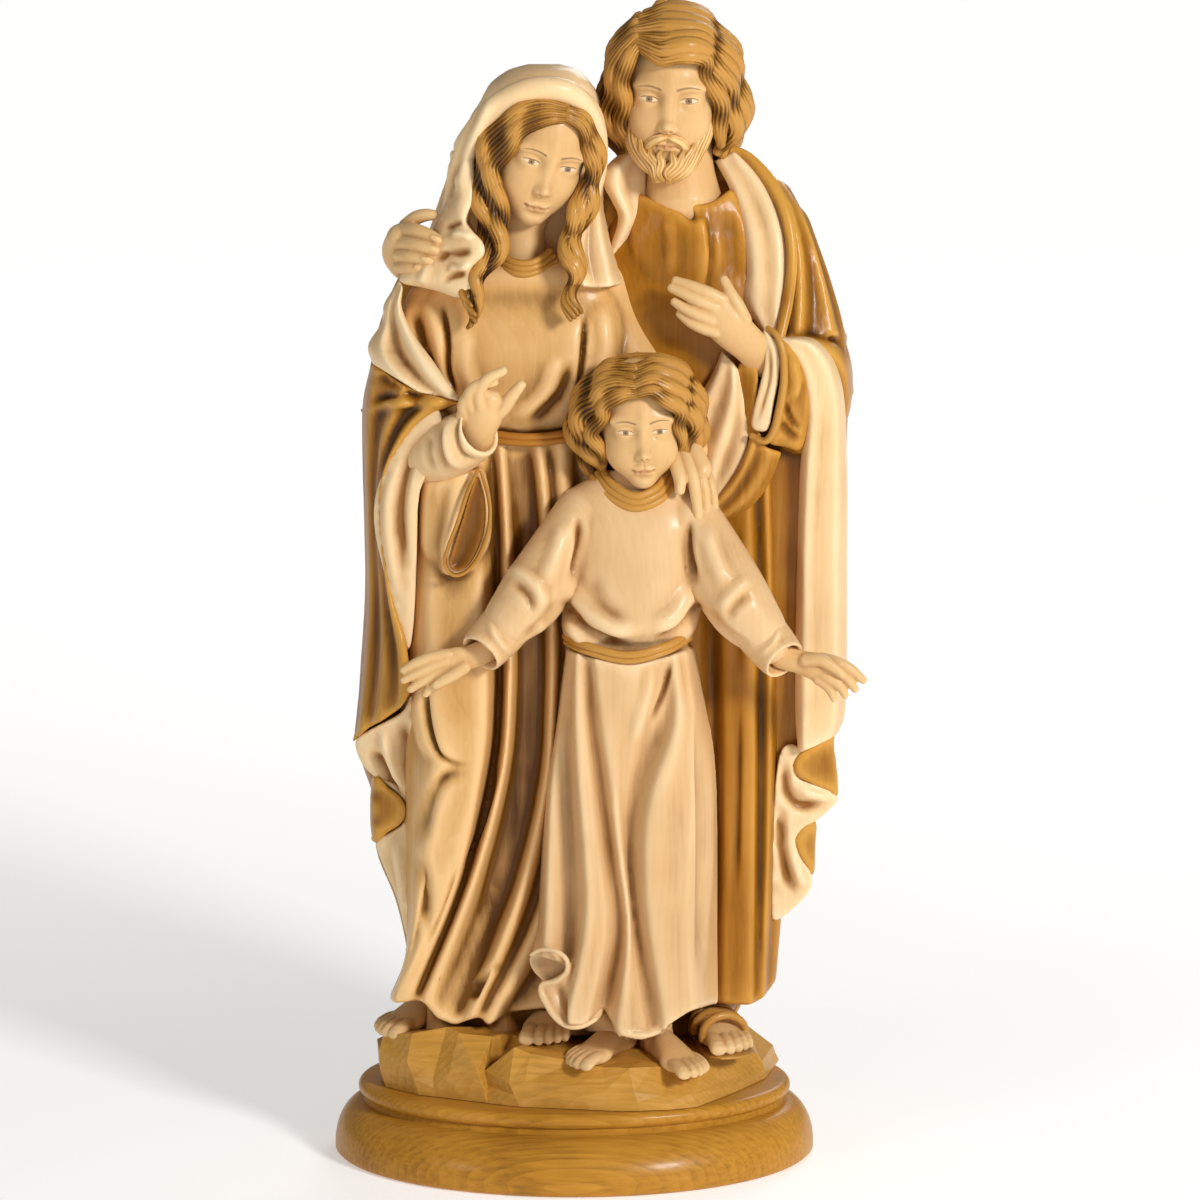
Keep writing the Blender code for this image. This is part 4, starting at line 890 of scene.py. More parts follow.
def mother_linings():
    flap = drape(
        "flap",
        [
            ("edge", [(400, 279, 36), (384, 304, 34), (382, 322, 36), (368, 345, 38), (372, 362, 48), (376, 366, 52)]),
            ("crest", [(401, 281, 46), (389, 306, 50), (388, 326, 54), (382, 348, 62), (400, 374, 82), (418, 392, 92)]),
            ("valley", [(401, 283, 44), (393, 308, 48), (396, 332, 54), (402, 354, 64), (420, 378, 82), (440, 397, 94)]),
            ("crest", [(402, 285, 54), (398, 308, 62), (408, 334, 76), (424, 362, 92), (440, 384, 100), (456, 400, 104)]),
            ("edge", [(403, 288, 50), (402, 308, 56), (415, 336, 68), (434, 362, 84), (450, 386, 96), (463, 402, 102)]),
        ],
        30,
    )
    finish(flap, "mantle_flap_lining", LIGHT)
    fall = slab(
        "fall",
        [
            (440, 410, 96),
            (420, 420, 88),
            (398, 444, 74),
            (378, 486, 62),
            (374, 522, 62),
            (382, 564, 64),
            (396, 614, 72),
            (408, 650, 78),
            (414, 620, 78),
            (417, 550, 76),
            (420, 490, 80),
            (440, 452, 92),
        ],
        40,
        bulge=3,
    )
    carve(
        fall,
        [
            ("valley", 10, 5, [(426, 430), (406, 470), (400, 520), (406, 580)]),
            ("ridge", 9, 4, [(400, 452), (388, 500), (390, 550), (402, 610)]),
        ],
    )
    # This lining takes the darker pale limewood instead of the other linings' colour, as painted shade for the sleeve's
    # shade over it.
    finish(fall, "mantle_fall_lining", CHILD_ROBE, reach=36, gain=0.9)
    turned = slab(
        "turned",
        [
            (355, 743, 32),
            (364, 733, 38),
            (386, 721, 52),
            (404, 710, 62),
            (412, 694, 68),
            (416, 740, 66),
            (416, 790, 62),
            (416, 830, 58),
            (416, 880, 54),
            (414, 952, 50),
            (405, 930, 44),
            (397, 898, 38),
            (386, 872, 32),
            (376, 842, 28),
            (390, 832, 34),
            (402, 824, 42),
            (409, 810, 46),
            (400, 796, 42),
            (387, 786, 34),
            (374, 776, 28),
            (362, 764, 28),
        ],
        44,
        bulge=5,
    )
    carve(
        turned,
        [
            ("valley", 10, 9, [(366, 750), (380, 764), (398, 800)]),
            ("ridge", 9, 6, [(382, 724), (388, 752), (402, 794)]),
            ("valley", 9, 7, [(402, 716), (405, 760), (409, 800)]),
            ("ridge", 8, 5, [(394, 836), (400, 870), (408, 920)]),
        ],
    )
    finish(turned, "mantle_turned_lining", LIGHT)


def mother_veil():
    veil = column(
        "veil",
        [
            (64, 528, 560, 34, 6),
            (70, 508, 578, 58, -20),
            (82, 492, 591, 74, -38),
            (92, 485, 597, 74, -48),
            (104, 478, 602, 58, -56),
            (120, 470, 606, 40, -62),
            (157, 457, 607, 20, -70),
            (205, 440, 604, 10, -76),
            (250, 424, 612, 10, -82),
            (290, 404, 622, 14, -88),
        ],
        power=0.95,
    )
    brim = tube(
        "brim",
        [
            (452, 206, 36, 9),
            (460, 170, 46, 11),
            (475, 134, 60, 12),
            (498, 106, 74, 12),
            (530, 90, 82, 12),
            (564, 91, 78, 12),
            (585, 108, 64, 11),
            (597, 136, 48, 10),
            (598, 168, 40, 9),
            (592, 196, 44, 8),
        ],
    )
    left = slab(
        "veil_left",
        [
            (450, 152, 44),
            (470, 150, 56),
            (475, 172, 64),
            (473, 200, 72),
            (466, 220, 76),
            (472, 230, 80),
            (483, 242, 84),
            (485, 254, 84),
            (476, 264, 82),
            (471, 272, 80),
            (480, 282, 80),
            (474, 293, 78),
            (458, 298, 76),
            (440, 292, 66),
            (420, 287, 56),
            (399, 281, 40),
            (413, 258, 40),
            (432, 232, 42),
            (446, 204, 44),
            (454, 176, 46),
        ],
        30,
        bulge=9,
        voxel=0.0008,
        soft=5,
    )
    right = drape(
        "veil_right",
        [
            ("edge", [(594, 168, 26), (589, 192, 34), (574, 222, 44), (567, 252, 52), (573, 283, 60)]),
            ("crest", [(597, 168, 38), (592, 194, 48), (581, 224, 58), (577, 254, 66), (584, 287, 74)]),
            ("hollow", [(600, 168, 38), (595, 196, 46), (590, 226, 52), (590, 256, 58), (596, 288, 64)]),
            ("crest", [(603, 168, 38), (598, 198, 46), (599, 228, 54), (604, 258, 60), (609, 287, 66)]),
            ("edge", [(607, 168, 18), (602, 200, 22), (607, 230, 26), (616, 260, 32), (622, 284, 40)]),
        ],
        38,
        rows=80,
        voxel=0.0009,
    )
    thing = remeshed(joined("veil", [veil, brim, left, right]), GARMENT_GRAIN * 0.8, 4, 0.5)
    carve(
        thing,
        [
            ("ridge", 12, 4, [(500, 88), (474, 134), (456, 196)]),
            ("valley", 9, 4, [(486, 94), (464, 142), (446, 200)]),
            ("valley", 7, 5, [(434, 262), (446, 254), (460, 253), (474, 250)]),
            ("ridge", 6, 4, [(450, 234), (462, 234), (474, 238)]),
            ("ridge", 6, 4, [(446, 268), (460, 268), (472, 264)]),
            ("valley", 5, 4, [(442, 228), (454, 224), (464, 222)]),
            ("valley", 5, 4, [(440, 282), (454, 276), (468, 273)]),
            ("ridge", 8, 3, [(464, 166), (458, 200), (452, 224)]),
            ("valley", 8, 2, [(462, 180), (454, 214), (446, 244)]),
            ("ridge", 8, 3, [(430, 262), (424, 276), (420, 286)]),
        ],
    )
    pleats(thing, (530, -20), 8, 6, 1120, 800)
    return finish(thing, "mother_veil", LIGHT)


def mother_dress():
    body = column(
        "dress_body",
        [
            (256, 484, 568, 36, -10),
            (274, 452, 596, 52, -10),
            (300, 420, 618, 54, -10),
            (330, 414, 626, 64, -10),
            (360, 414, 626, 68, -10),
            (400, 422, 622, 64, -10),
            (432, 440, 612, 54, -10),
            (452, 442, 612, 52, -10),
            (520, 436, 608, 50, -10),
            (600, 430, 606, 50, -10),
            (760, 420, 600, 50, -10),
            (940, 414, 590, 50, -10),
            (1004, 430, 574, 46, -10),
            (1036, 440, 580, 40, -10),
        ],
        power=0.8,
    )
    skirt = drape(
        "dress_skirt",
        [
            ("edge", [(440, 438, 26), (412, 500, 24), (402, 600, 24), (400, 720, 26), (402, 860, 28), (406, 948, 32), (389, 998, 50)]),
            ("crest", [(456, 438, 56), (440, 520, 70), (436, 620, 86), (440, 700, 98), (444, 758, 106), (424, 884, 90), (394, 1003, 82)]),
            ("crest", [(480, 438, 60), (478, 520, 78), (480, 620, 92), (484, 700, 100), (480, 764, 102), (456, 882, 90), (407, 1002, 84)]),
            ("hollow", [(492, 438, 54), (496, 520, 56), (499, 620, 56), (500, 690, 54), (492, 772, 54), (462, 884, 58), (416, 1000, 74)]),
            ("crest", [(500, 438, 62), (506, 520, 74), (509, 620, 86), (509, 690, 88), (502, 774, 88), (472, 884, 84), (424, 1002, 88)]),
            ("hollow", [(508, 438, 54), (515, 520, 52), (520, 620, 48), (521, 700, 44), (514, 780, 42), (486, 890, 48), (437, 1018, 82)]),
            ("hollow", [(526, 438, 52), (534, 520, 46), (538, 620, 40), (539, 700, 36), (532, 785, 36), (504, 896, 44), (455, 1025, 78)]),
            ("crest", [(538, 438, 62), (546, 520, 72), (552, 620, 80), (552, 700, 84), (546, 785, 86), (520, 895, 84), (471, 1019, 88)]),
            ("hollow", [(548, 438, 54), (555, 520, 60), (561, 620, 62), (561, 700, 64), (556, 790, 64), (532, 905, 62), (481, 1017, 76)]),
            ("crest", [(560, 438, 60), (565, 520, 68), (571, 620, 74), (571, 700, 76), (566, 795, 76), (543, 915, 74), (488, 1026, 82)]),
            ("hollow", [(574, 438, 50), (580, 520, 50), (585, 620, 50), (584, 700, 50), (580, 800, 50), (562, 920, 46), (508, 1012, 56)]),
            ("crest", [(592, 438, 50), (598, 520, 56), (600, 620, 58), (600, 700, 60), (598, 800, 60), (588, 920, 54), (560, 1006, 56)]),
            ("edge", [(616, 438, 10), (616, 520, 10), (616, 620, 10), (616, 700, 10), (614, 800, 10), (606, 920, 10), (596, 1006, 10)]),
        ],
        46,
        rows=170,
        per=10,
    )
    under = drape(
        "dress_under",
        [
            ("edge", [(430, 950, 16), (428, 1000, 18), (424, 1040, 20)]),
            ("crest", [(446, 950, 44), (446, 1000, 50), (444, 1042, 54)]),
            ("hollow", [(470, 950, 40), (474, 1000, 44), (476, 1042, 46)]),
            ("crest", [(492, 950, 48), (500, 1000, 56), (504, 1044, 60)]),
            ("hollow", [(516, 950, 36), (522, 1000, 40), (526, 1042, 42)]),
            ("crest", [(548, 950, 46), (556, 1000, 50), (562, 1036, 52)]),
            ("edge", [(590, 950, 10), (596, 1000, 10), (600, 1036, 10)]),
        ],
        50,
        rows=40,
    )
    arm_left = tube(
        "dress_arm_left",
        [(434, 304, 10, 28), (418, 350, 20, 26), (428, 420, 34, 24), (440, 452, 52, 24)],
        around=28,
    )
    arm_right = tube(
        "dress_arm_right",
        [(600, 290, 2, 32), (618, 340, 8, 34), (650, 400, 24, 32), (684, 450, 48, 24)],
        around=28,
    )
    sleeve = drape(
        "dress_sleeve",
        [
            ("edge", [(421, 474, 52), (418, 510, 52), (418, 545, 52), (424, 562, 54)]),
            ("crest", [(430, 478, 76), (428, 512, 78), (428, 548, 78), (434, 568, 74)]),
            ("hollow", [(440, 480, 84), (440, 514, 84), (438, 550, 84), (440, 571, 80)]),
            ("crest", [(460, 474, 92), (452, 512, 94), (444, 550, 98), (447, 575, 94)]),
            ("crest", [(472, 470, 88), (476, 512, 80), (472, 552, 86), (459, 576, 94)]),
            ("crest", [(480, 468, 92), (487, 500, 90), (487, 540, 92), (470, 570, 94)]),
            ("edge", [(484, 468, 80), (491, 500, 78), (490, 542, 80), (474, 571, 84)]),
        ],
        40,
        rows=60,
    )
    thing = remeshed(
        joined("dress", [body, skirt, under, arm_left, arm_right, sleeve]), GARMENT_GRAIN, 7
    )
    carve(
        thing,
        [
            ("crease", 5, 9, [(442, 300), (447, 336), (448, 372), (458, 400)]),
            ("valley", 10, 4, [(410, 306), (422, 340), (436, 380)]),
            ("ridge", 10, 4, [(426, 300), (437, 336), (442, 374)]),
            ("crease", 5, 10, [(585, 306), (584, 340), (579, 390), (572, 430)]),
            ("ridge", 12, 4, [(600, 300), (606, 340), (600, 384)]),
            ("valley", 9, 6, [(484, 430), (530, 438), (586, 430)]),
            ("ridge", 14, 4, [(466, 320), (466, 366), (484, 412)]),
            ("valley", 12, 6, [(576, 358), (558, 396), (526, 424)]),
            ("ridge", 12, 5, [(560, 352), (542, 396), (508, 420)]),
            ("crease", 5, 7, [(424, 670), (427, 716), (436, 750), (452, 763), (474, 764)]),
            ("ridge", 10, 5, [(418, 680), (421, 730), (432, 764)]),
            ("valley", 13, 6, [(472, 770), (446, 778), (428, 806), (420, 850)]),
            ("valley", 12, 8, [(420, 850), (424, 910), (408, 960)]),
            ("ridge", 8, 6, [(424, 900), (418, 950), (400, 992)]),
            ("crease", 5, 6, [(460, 860), (446, 904), (424, 950)]),
            ("crease", 4, 5, [(500, 760), (484, 820), (462, 872)]),
            ("valley", 7, 7, [(500, 960), (480, 984), (470, 1004)]),
        ],
    )
    # The stronger gain paints more shade in the skirt's valleys.
    return finish(thing, "mother_dress", DRESS, reach=36, gain=0.95)


def mother_sleeve_trim():
    hollow = slab(
        "hollow",
        [
            (478, 476, 92),
            (485, 500, 93),
            (485, 526, 95),
            (478, 550, 98),
            (468, 566, 101),
            (456, 571, 102),
            (449, 564, 102),
            (454, 546, 101),
            (464, 514, 100),
            (471, 490, 97),
        ],
        20,
        bulge=-6,
        voxel=0.0008,
    )
    # The inside of the hanging sleeve is a sunk sheet in the dark brown, painted shade.
    finish(hollow, "mother_sleeve_hollow", SHADE)
    rim = tube(
        "rim",
        [
            (478, 470, 96, 1.6),
            (468, 492, 101, 1.9),
            (458, 522, 105, 2.0),
            (448, 548, 106, 2.0),
            (445, 564, 106, 2.1),
            (454, 575, 106, 2.2),
            (468, 570, 105, 2.2),
            (481, 552, 102, 2.2),
            (489, 526, 99, 2.0),
            (489, 500, 97, 1.9),
            (481, 472, 96, 1.6),
        ],
    )
    finish(rim, "mother_sleeve_rim", TRIM)
    cuff = tube(
        "cuff",
        [(430, 456, 58, 28), (446, 450, 76, 30), (464, 440, 96, 28), (478, 432, 110, 25)],
        around=40,
        open_end=0.2,
    )
    cuff = remeshed(cuff, 0.0008, 3)
    carve(
        cuff,
        [
            ("crease", 5, 5, [(462, 408), (455, 430), (462, 454), (482, 462)]),
            ("ridge", 7, 4, [(454, 410), (446, 434), (452, 460), (474, 470)]),
            ("valley", 7, 5, [(444, 416), (438, 440), (442, 462), (456, 474)]),
            ("valley", 7, 4, [(430, 430), (428, 454), (436, 474)]),
        ],
    )
    finish(cuff, "mother_cuff", LIGHT)
    collar = []
    for step, (drop, swell) in enumerate(((0, 0), (5.5, 3), (11, 6))):
        path = [
            (497 - swell, 249 + drop, 30, 3.2),
            (506, 258 + drop, 46, 3.4),
            (520, 263 + drop, 53, 3.4),
            (536, 261 + drop, 51, 3.4),
            (550 + swell, 251 + drop, 38, 3.2),
        ]
        collar.append(tube(f"collar_{step}", path))
    finish(joined("collar", collar), "mother_collar", TRIM)
    belt = tubes(
        "belt",
        [
            [(470, 429, 54, 3.4), (510, 436, 66, 3.6), (545, 436, 66, 3.6), (594, 428, 52, 3.4)],
            [(470, 436, 54, 3.4), (510, 442, 66, 3.6), (545, 442, 66, 3.6), (594, 435, 52, 3.4)],
        ],
    )
    # The belt takes the dark brown as painted shade, for the shade it lies in.
    finish(joined("belt", belt), "mother_belt", SHADE)


MOTHER_HEAD = ((539, 150, 34), 143, 13, 17, 14, 0.45)
FATHER_HEAD = ((672, 93, 2), 147, 3, -4, 8, 1.0)
CHILD_HEAD = ((640, 423, 84), 126, -2, 3, 8, 0.0)


def mother_head():
    face = Head(*MOTHER_HEAD)
    face.build("mother_face")
    neck = tube(
        "neck", [(530, 196, 14, 27), (522, 226, 14, 23), (521, 250, 15, 24), (522, 268, 12, 29)], around=32
    )
    finish(remeshed(neck, SKIN_GRAIN, 2), "mother_neck", SKIN)
    base = face.locks("cap", [[(0, 0.1, 0.60, 0.33), (0, 0.12, 0.64, 0.335)]] * 2, 1, flutes=0, groove=0)
    left = strands(
        "hair_left",
        [
            [
                (567, 119, 84, 4),
                (546, 121, 91, 5),
                (523, 133, 89, 6),
                (506, 150, 82, 7),
                (497, 172, 76, 7),
                (497, 198, 74, 7),
                (504, 226, 70, 7),
                (500, 250, 72, 7),
                (484, 272, 76, 6),
                (478, 300, 80, 5),
                (469, 328, 84, 2),
            ],
            [
                (566, 111, 82, 4),
                (541, 109, 88, 6),
                (513, 122, 86, 7),
                (496, 143, 78, 7),
                (487, 170, 72, 8),
                (486, 200, 68, 8),
                (494, 230, 68, 7),
                (492, 256, 72, 7),
                (474, 278, 78, 6),
                (472, 304, 82, 4),
                (478, 322, 84, 2),
            ],
            [
                (564, 104, 76, 4),
                (537, 100, 82, 6),
                (505, 113, 78, 7),
                (487, 137, 68, 8),
                (478, 168, 60, 8),
                (477, 200, 58, 8),
                (484, 230, 62, 7),
                (484, 254, 68, 6),
                (470, 274, 74, 5),
                (466, 292, 80, 4),
                (472, 306, 82, 2),
            ],
        ],
        5,
        wave=3.6,
        length=58,
        around=60,
        flutes=13,
        groove=0.05,
        swell=1.15,
    )
    right = strands(
        "hair_right",
        [
            [
                (568, 119, 86, 4),
                (580, 128, 80, 5),
                (588, 146, 70, 6),
                (589, 170, 60, 6),
                (584, 194, 60, 7),
                (571, 220, 64, 7),
                (567, 246, 70, 7),
                (572, 272, 76, 6),
                (566, 296, 80, 4),
                (571, 320, 84, 2),
            ],
            [
                (569, 111, 82, 4),
                (584, 119, 74, 6),
                (594, 142, 62, 7),
                (595, 170, 54, 7),
                (590, 198, 52, 8),
                (578, 226, 58, 8),
                (574, 252, 66, 7),
                (580, 276, 74, 5),
                (574, 298, 80, 3),
                (578, 312, 82, 2),
            ],
        ],
        4,
        wave=3.4,
        length=56,
        around=60,
        flutes=13,
        groove=0.05,
        swell=1.15,
    )
    thing = joined("hair", [*base, *left, *right])
    # The high gain paints highlights on the locks and shade in the grooves between them.
    finish(thing, "mother_hair", HAIR, reach=6, gain=1.9, keep=0.45)


def mother_hands():
    parts = [
        tube("palm", [(476, 444, 99, 15), (478, 428, 106, 18), (484, 413, 110, 19), (488, 403, 112, 15)], flat=0.7, around=28),
        *tubes(
            "finger",
            [
                [(481, 408, 117, 7.2), (479, 392, 122, 6.6), (488, 379, 125, 6), (503, 371, 123, 4.6)],
                [(473, 412, 114, 7.2), (469, 397, 119, 6.6), (477, 386, 123, 6), (494, 382, 122, 4.6)],
                [(468, 419, 111, 7.2), (464, 406, 115, 6.8), (470, 397, 119, 6.2), (485, 394, 119, 5)],
                [(468, 429, 107, 6.8), (462, 417, 111, 6.2), (467, 408, 115, 5.6), (478, 404, 116, 4.8)],
                [(492, 418, 110, 8), (504, 407, 112, 7.4), (512, 396, 114, 6.6), (521, 385, 113, 5)],
            ],
            around=14,
        ),
    ]
    skin_piece("mother_right_hand", parts)
    parts = [
        tube("palm", [(676, 440, 62, 18), (688, 456, 78, 17), (698, 470, 88, 14)], flat=0.7, around=24),
        *tubes(
            "finger",
            [
                [(672, 452, 92, 7), (677, 468, 104, 7), (680, 480, 110, 6.4), (680, 490, 112, 5.2)],
                [(684, 456, 92, 7), (692, 476, 104, 6.4), (696, 496, 108, 5.8), (698, 515, 108, 4.6)],
                [(692, 458, 84, 7), (701, 478, 96, 6.4), (705, 498, 100, 5.6), (706, 519, 100, 4.4)],
                [(700, 462, 76, 6.6), (709, 482, 86, 6), (713, 500, 90, 5.4), (714, 514, 90, 4.2)],
            ],
            around=14,
        ),
        nail("nail", 680, 487, 116, 90, 3.6),
    ]
    skin_piece("mother_left_hand", parts)


class Foot:
    """A bare foot drawn at its toe tips, turned out by the heading, its length in sheet units.

    The inner side is 1 where the big toe is on the drawing's right and -1 where it is on the left.
    """

    def __init__(self, tip, heading, length, inner):
        turn = math.radians(heading)
        self.forward = np.array((math.sin(turn), -math.cos(turn), 0.0))
        self.side = np.array((math.cos(turn), math.sin(turn), 0.0)) * inner
        self.length = length * UNIT
        self.tip = place(tip)

    def spot(self, across, along, up):
        out = (along - 1) * self.length * self.forward + across * self.length * self.side
        return self.tip + out + np.array((0, 0, up * self.length))

    def sections(self, name, rows, around=28):
        """A skin over oval sections of (across, along, up, half width, half height)."""
        turn = np.linspace(0, 2 * math.pi, around, endpoint=False)[:, None]
        rings = []
        for across, along, up, wide, high in curve(rows, 5):
            middle = self.spot(across, along, up)
            lift = np.array((0, 0, 1.0))
            ring = wide * self.side * np.cos(turn) + high * lift * np.sin(turn)
            rings.append(middle + ring * self.length)
        return loft(name, np.array(rings))

    def build(self, name):
        sole = self.sections(
            "sole",
            [
                (0, 0.00, 0.09, 0.03, 0.03),
                (0, 0.04, 0.11, 0.10, 0.10),
                (0, 0.16, 0.15, 0.12, 0.15),
                (0, 0.34, 0.15, 0.13, 0.15),
                (0, 0.52, 0.12, 0.155, 0.12),
                (0.01, 0.66, 0.09, 0.185, 0.09),
                (0.0, 0.76, 0.07, 0.18, 0.065),
                (0.0, 0.81, 0.06, 0.15, 0.04),
            ],
        )
        ankle = limb(
            "ankle",
            np.array([self.spot(0, 0.14 + 0.10 * t, 0.50 - 0.34 * t) for t in np.linspace(0, 1, 8)]),
            np.linspace(0.125, 0.14, 8) * self.length,
            around=28,
        )
        parts = [sole, ankle]
        toes = (
            (0.118, 1.00, 0.068),
            (0.020, 0.985, 0.050),
            (-0.056, 0.945, 0.046),
            (-0.122, 0.895, 0.042),
            (-0.178, 0.835, 0.038),
        )
        for i, (across, tip, thick) in enumerate(toes):
            rows = [
                (across * 0.92, tip - 0.34, 0.085, thick * 0.9, 0.05),
                (across * 0.96, tip - 0.20, 0.092, thick * 0.95, 0.052),
                (across, tip - 0.10, 0.080, thick * 0.98, 0.050),
                (across, tip - 0.045, 0.060, thick, 0.048),
                (across, tip - 0.012, 0.050, thick * 0.82, 0.038),
                (across, tip, 0.046, thick * 0.3, 0.014),
            ]
            parts.append(self.sections(f"toe_{i}", rows, 16))
            plate = [
                (across, tip - 0.085, 0.112, thick * 0.3, 0.012),
                (across, tip - 0.060, 0.106, thick * 0.62, 0.016),
                (across, tip - 0.030, 0.088, thick * 0.55, 0.014),
            ]
            parts.append(self.sections(f"toe_nail_{i}", plate, 12))
        return skin_piece(name, parts)

    def strap(self, name, along, lean, half):
        """A flat band over the instep."""
        spots = []
        for t in np.linspace(-1, 1, 13):
            bend = math.radians(100 * t)
            spots.append(self.spot(0.185 * math.sin(bend), along + lean * t, 0.11 + 0.155 * math.cos(bend)))
        return limb(name, np.array(spots), np.full(13, half) * self.length, around=16)


def mother_feet():
    Foot((381, 1039, 46), -34, 118, 1).build("mother_right_foot")
    Foot((540, 1048, 97), -8, 122, -1).build("mother_left_foot")


# The father


def cloak_flank():
    """The side of the cloak, filled in behind the lining that falls over the arm."""
    return column(
        "cloak_flank",
        [
            (196, 740, 784, -10, -80),
            (230, 740, 806, 0, -90),
            (290, 740, 824, 8, -96),
            (343, 740, 842, 18, -100),
            (420, 740, 844, 28, -100),
            (560, 740, 842, 24, -100),
            (700, 740, 840, 18, -100),
            (745, 740, 812, 14, -100),
            (800, 740, 794, 12, -96),
            (850, 740, 788, 10, -90),
            (900, 736, 774, 4, -80),
        ],
        power=0.6,
    )


def father_cloak():
    back = column(
        "cloak_back",
        [
            (160, 652, 714, -30, -74),
            (176, 628, 752, -24, -92),
            (192, 606, 786, -16, -104),
            (216, 590, 803, -8, -112),
            (254, 584, 818, -2, -118),
            (300, 582, 829, 2, -122),
            (345, 582, 846, 4, -126),
            (380, 582, 852, 4, -126),
            (430, 582, 846, 2, -126),
            (560, 582, 845, 0, -126),
            (700, 582, 842, -2, -126),
            (745, 584, 818, -4, -124),
            (860, 588, 794, -6, -118),
            (960, 596, 764, -8, -112),
            (1004, 602, 738, -10, -106),
            (1040, 616, 716, -12, -96),
        ],
    )
    side = drape(
        "cloak_side",
        [
            ("edge", [(762, 172, -16), (780, 204, 4), (790, 246, 14), (791, 296, 22), (788, 340, 30)]),
            ("crest", [(768, 174, -4), (788, 206, 14), (798, 248, 24), (800, 296, 32), (797, 340, 44)]),
            ("hollow", [(774, 177, -8), (796, 209, 6), (809, 250, 12), (814, 296, 18), (814, 338, 30)]),
            ("crest", [(780, 180, -10), (802, 212, 4), (817, 252, 12), (827, 294, 18), (834, 336, 26)]),
            ("edge", [(789, 186, -40), (805, 216, -44), (818, 256, -46), (830, 292, -40), (848, 342, -36)]),
        ],
        40,
        rows=90,
    )
    elbow = drape(
        "cloak_elbow",
        [
            ("edge", [(786, 333, 36), (812, 336, 34), (836, 344, 20), (849, 362, 0), (853, 390, -20)]),
            ("crest", [(786, 340, 54), (812, 344, 52), (834, 354, 38), (846, 376, 22), (849, 410, 4)]),
            ("valley", [(788, 346, 50), (810, 352, 46), (828, 366, 34), (838, 392, 22), (843, 430, 8)]),
            ("crest", [(790, 352, 56), (808, 360, 54), (822, 376, 46), (831, 406, 34), (838, 450, 18)]),
            ("edge", [(792, 358, 40), (804, 370, 36), (812, 392, 30), (820, 424, 20), (828, 470, 8)]),
        ],
        44,
        rows=70,
    )
    arm = tube(
        "cloak_arm",
        [(780, 232, -44, 32), (802, 296, -28, 32), (814, 350, -8, 32), (808, 400, 10, 30), (798, 430, 26, 24)],
        around=32,
    )
    shoulder = tube(
        "cloak_shoulder", [(726, 176, -40, 18), (760, 202, -42, 26), (780, 240, -40, 28)], around=28
    )
    far_arm = tube(
        "cloak_far_arm",
        [(612, 200, -40, 26), (596, 232, -40, 30), (540, 262, -84, 34), (460, 262, -78, 28), (424, 252, -56, 20)],
        around=28,
    )
    hem_upper = slab(
        "hem_upper",
        [
            (840, 724, 20),
            (834, 740, 20),
            (837, 770, 14),
            (838, 798, 12),
            (826, 790, 20),
            (808, 782, 26),
            (797, 776, 28),
            (793, 764, 28),
            (801, 752, 28),
            (818, 742, 24),
        ],
        40,
        bulge=3,
    )
    hem_lower = slab(
        "hem_lower",
        [
            (816, 820, 12),
            (815, 846, 8),
            (813, 876, 8),
            (804, 864, 16),
            (796, 849, 20),
            (794, 836, 20),
            (803, 826, 18),
        ],
        36,
        bulge=3,
    )
    parts = [back, side, elbow, arm, shoulder, far_arm, hem_upper, hem_lower]
    parts.append(cloak_flank())
    thing = remeshed(joined("cloak", parts), GARMENT_GRAIN, 6)
    carve(
        thing,
        [
            ("valley", 9, 7, [(600, 190), (596, 220), (604, 256)]),
            ("ridge", 8, 6, [(592, 200), (588, 230), (592, 262)]),
        ],
    )
    gouge_marks(thing, 190, 345, 776, 850, 0.2)
    pleats(thing, (700, -60), 9, 9, 900, 80)
    return finish(thing, "father_cloak", MANTLE, gain=0.9)


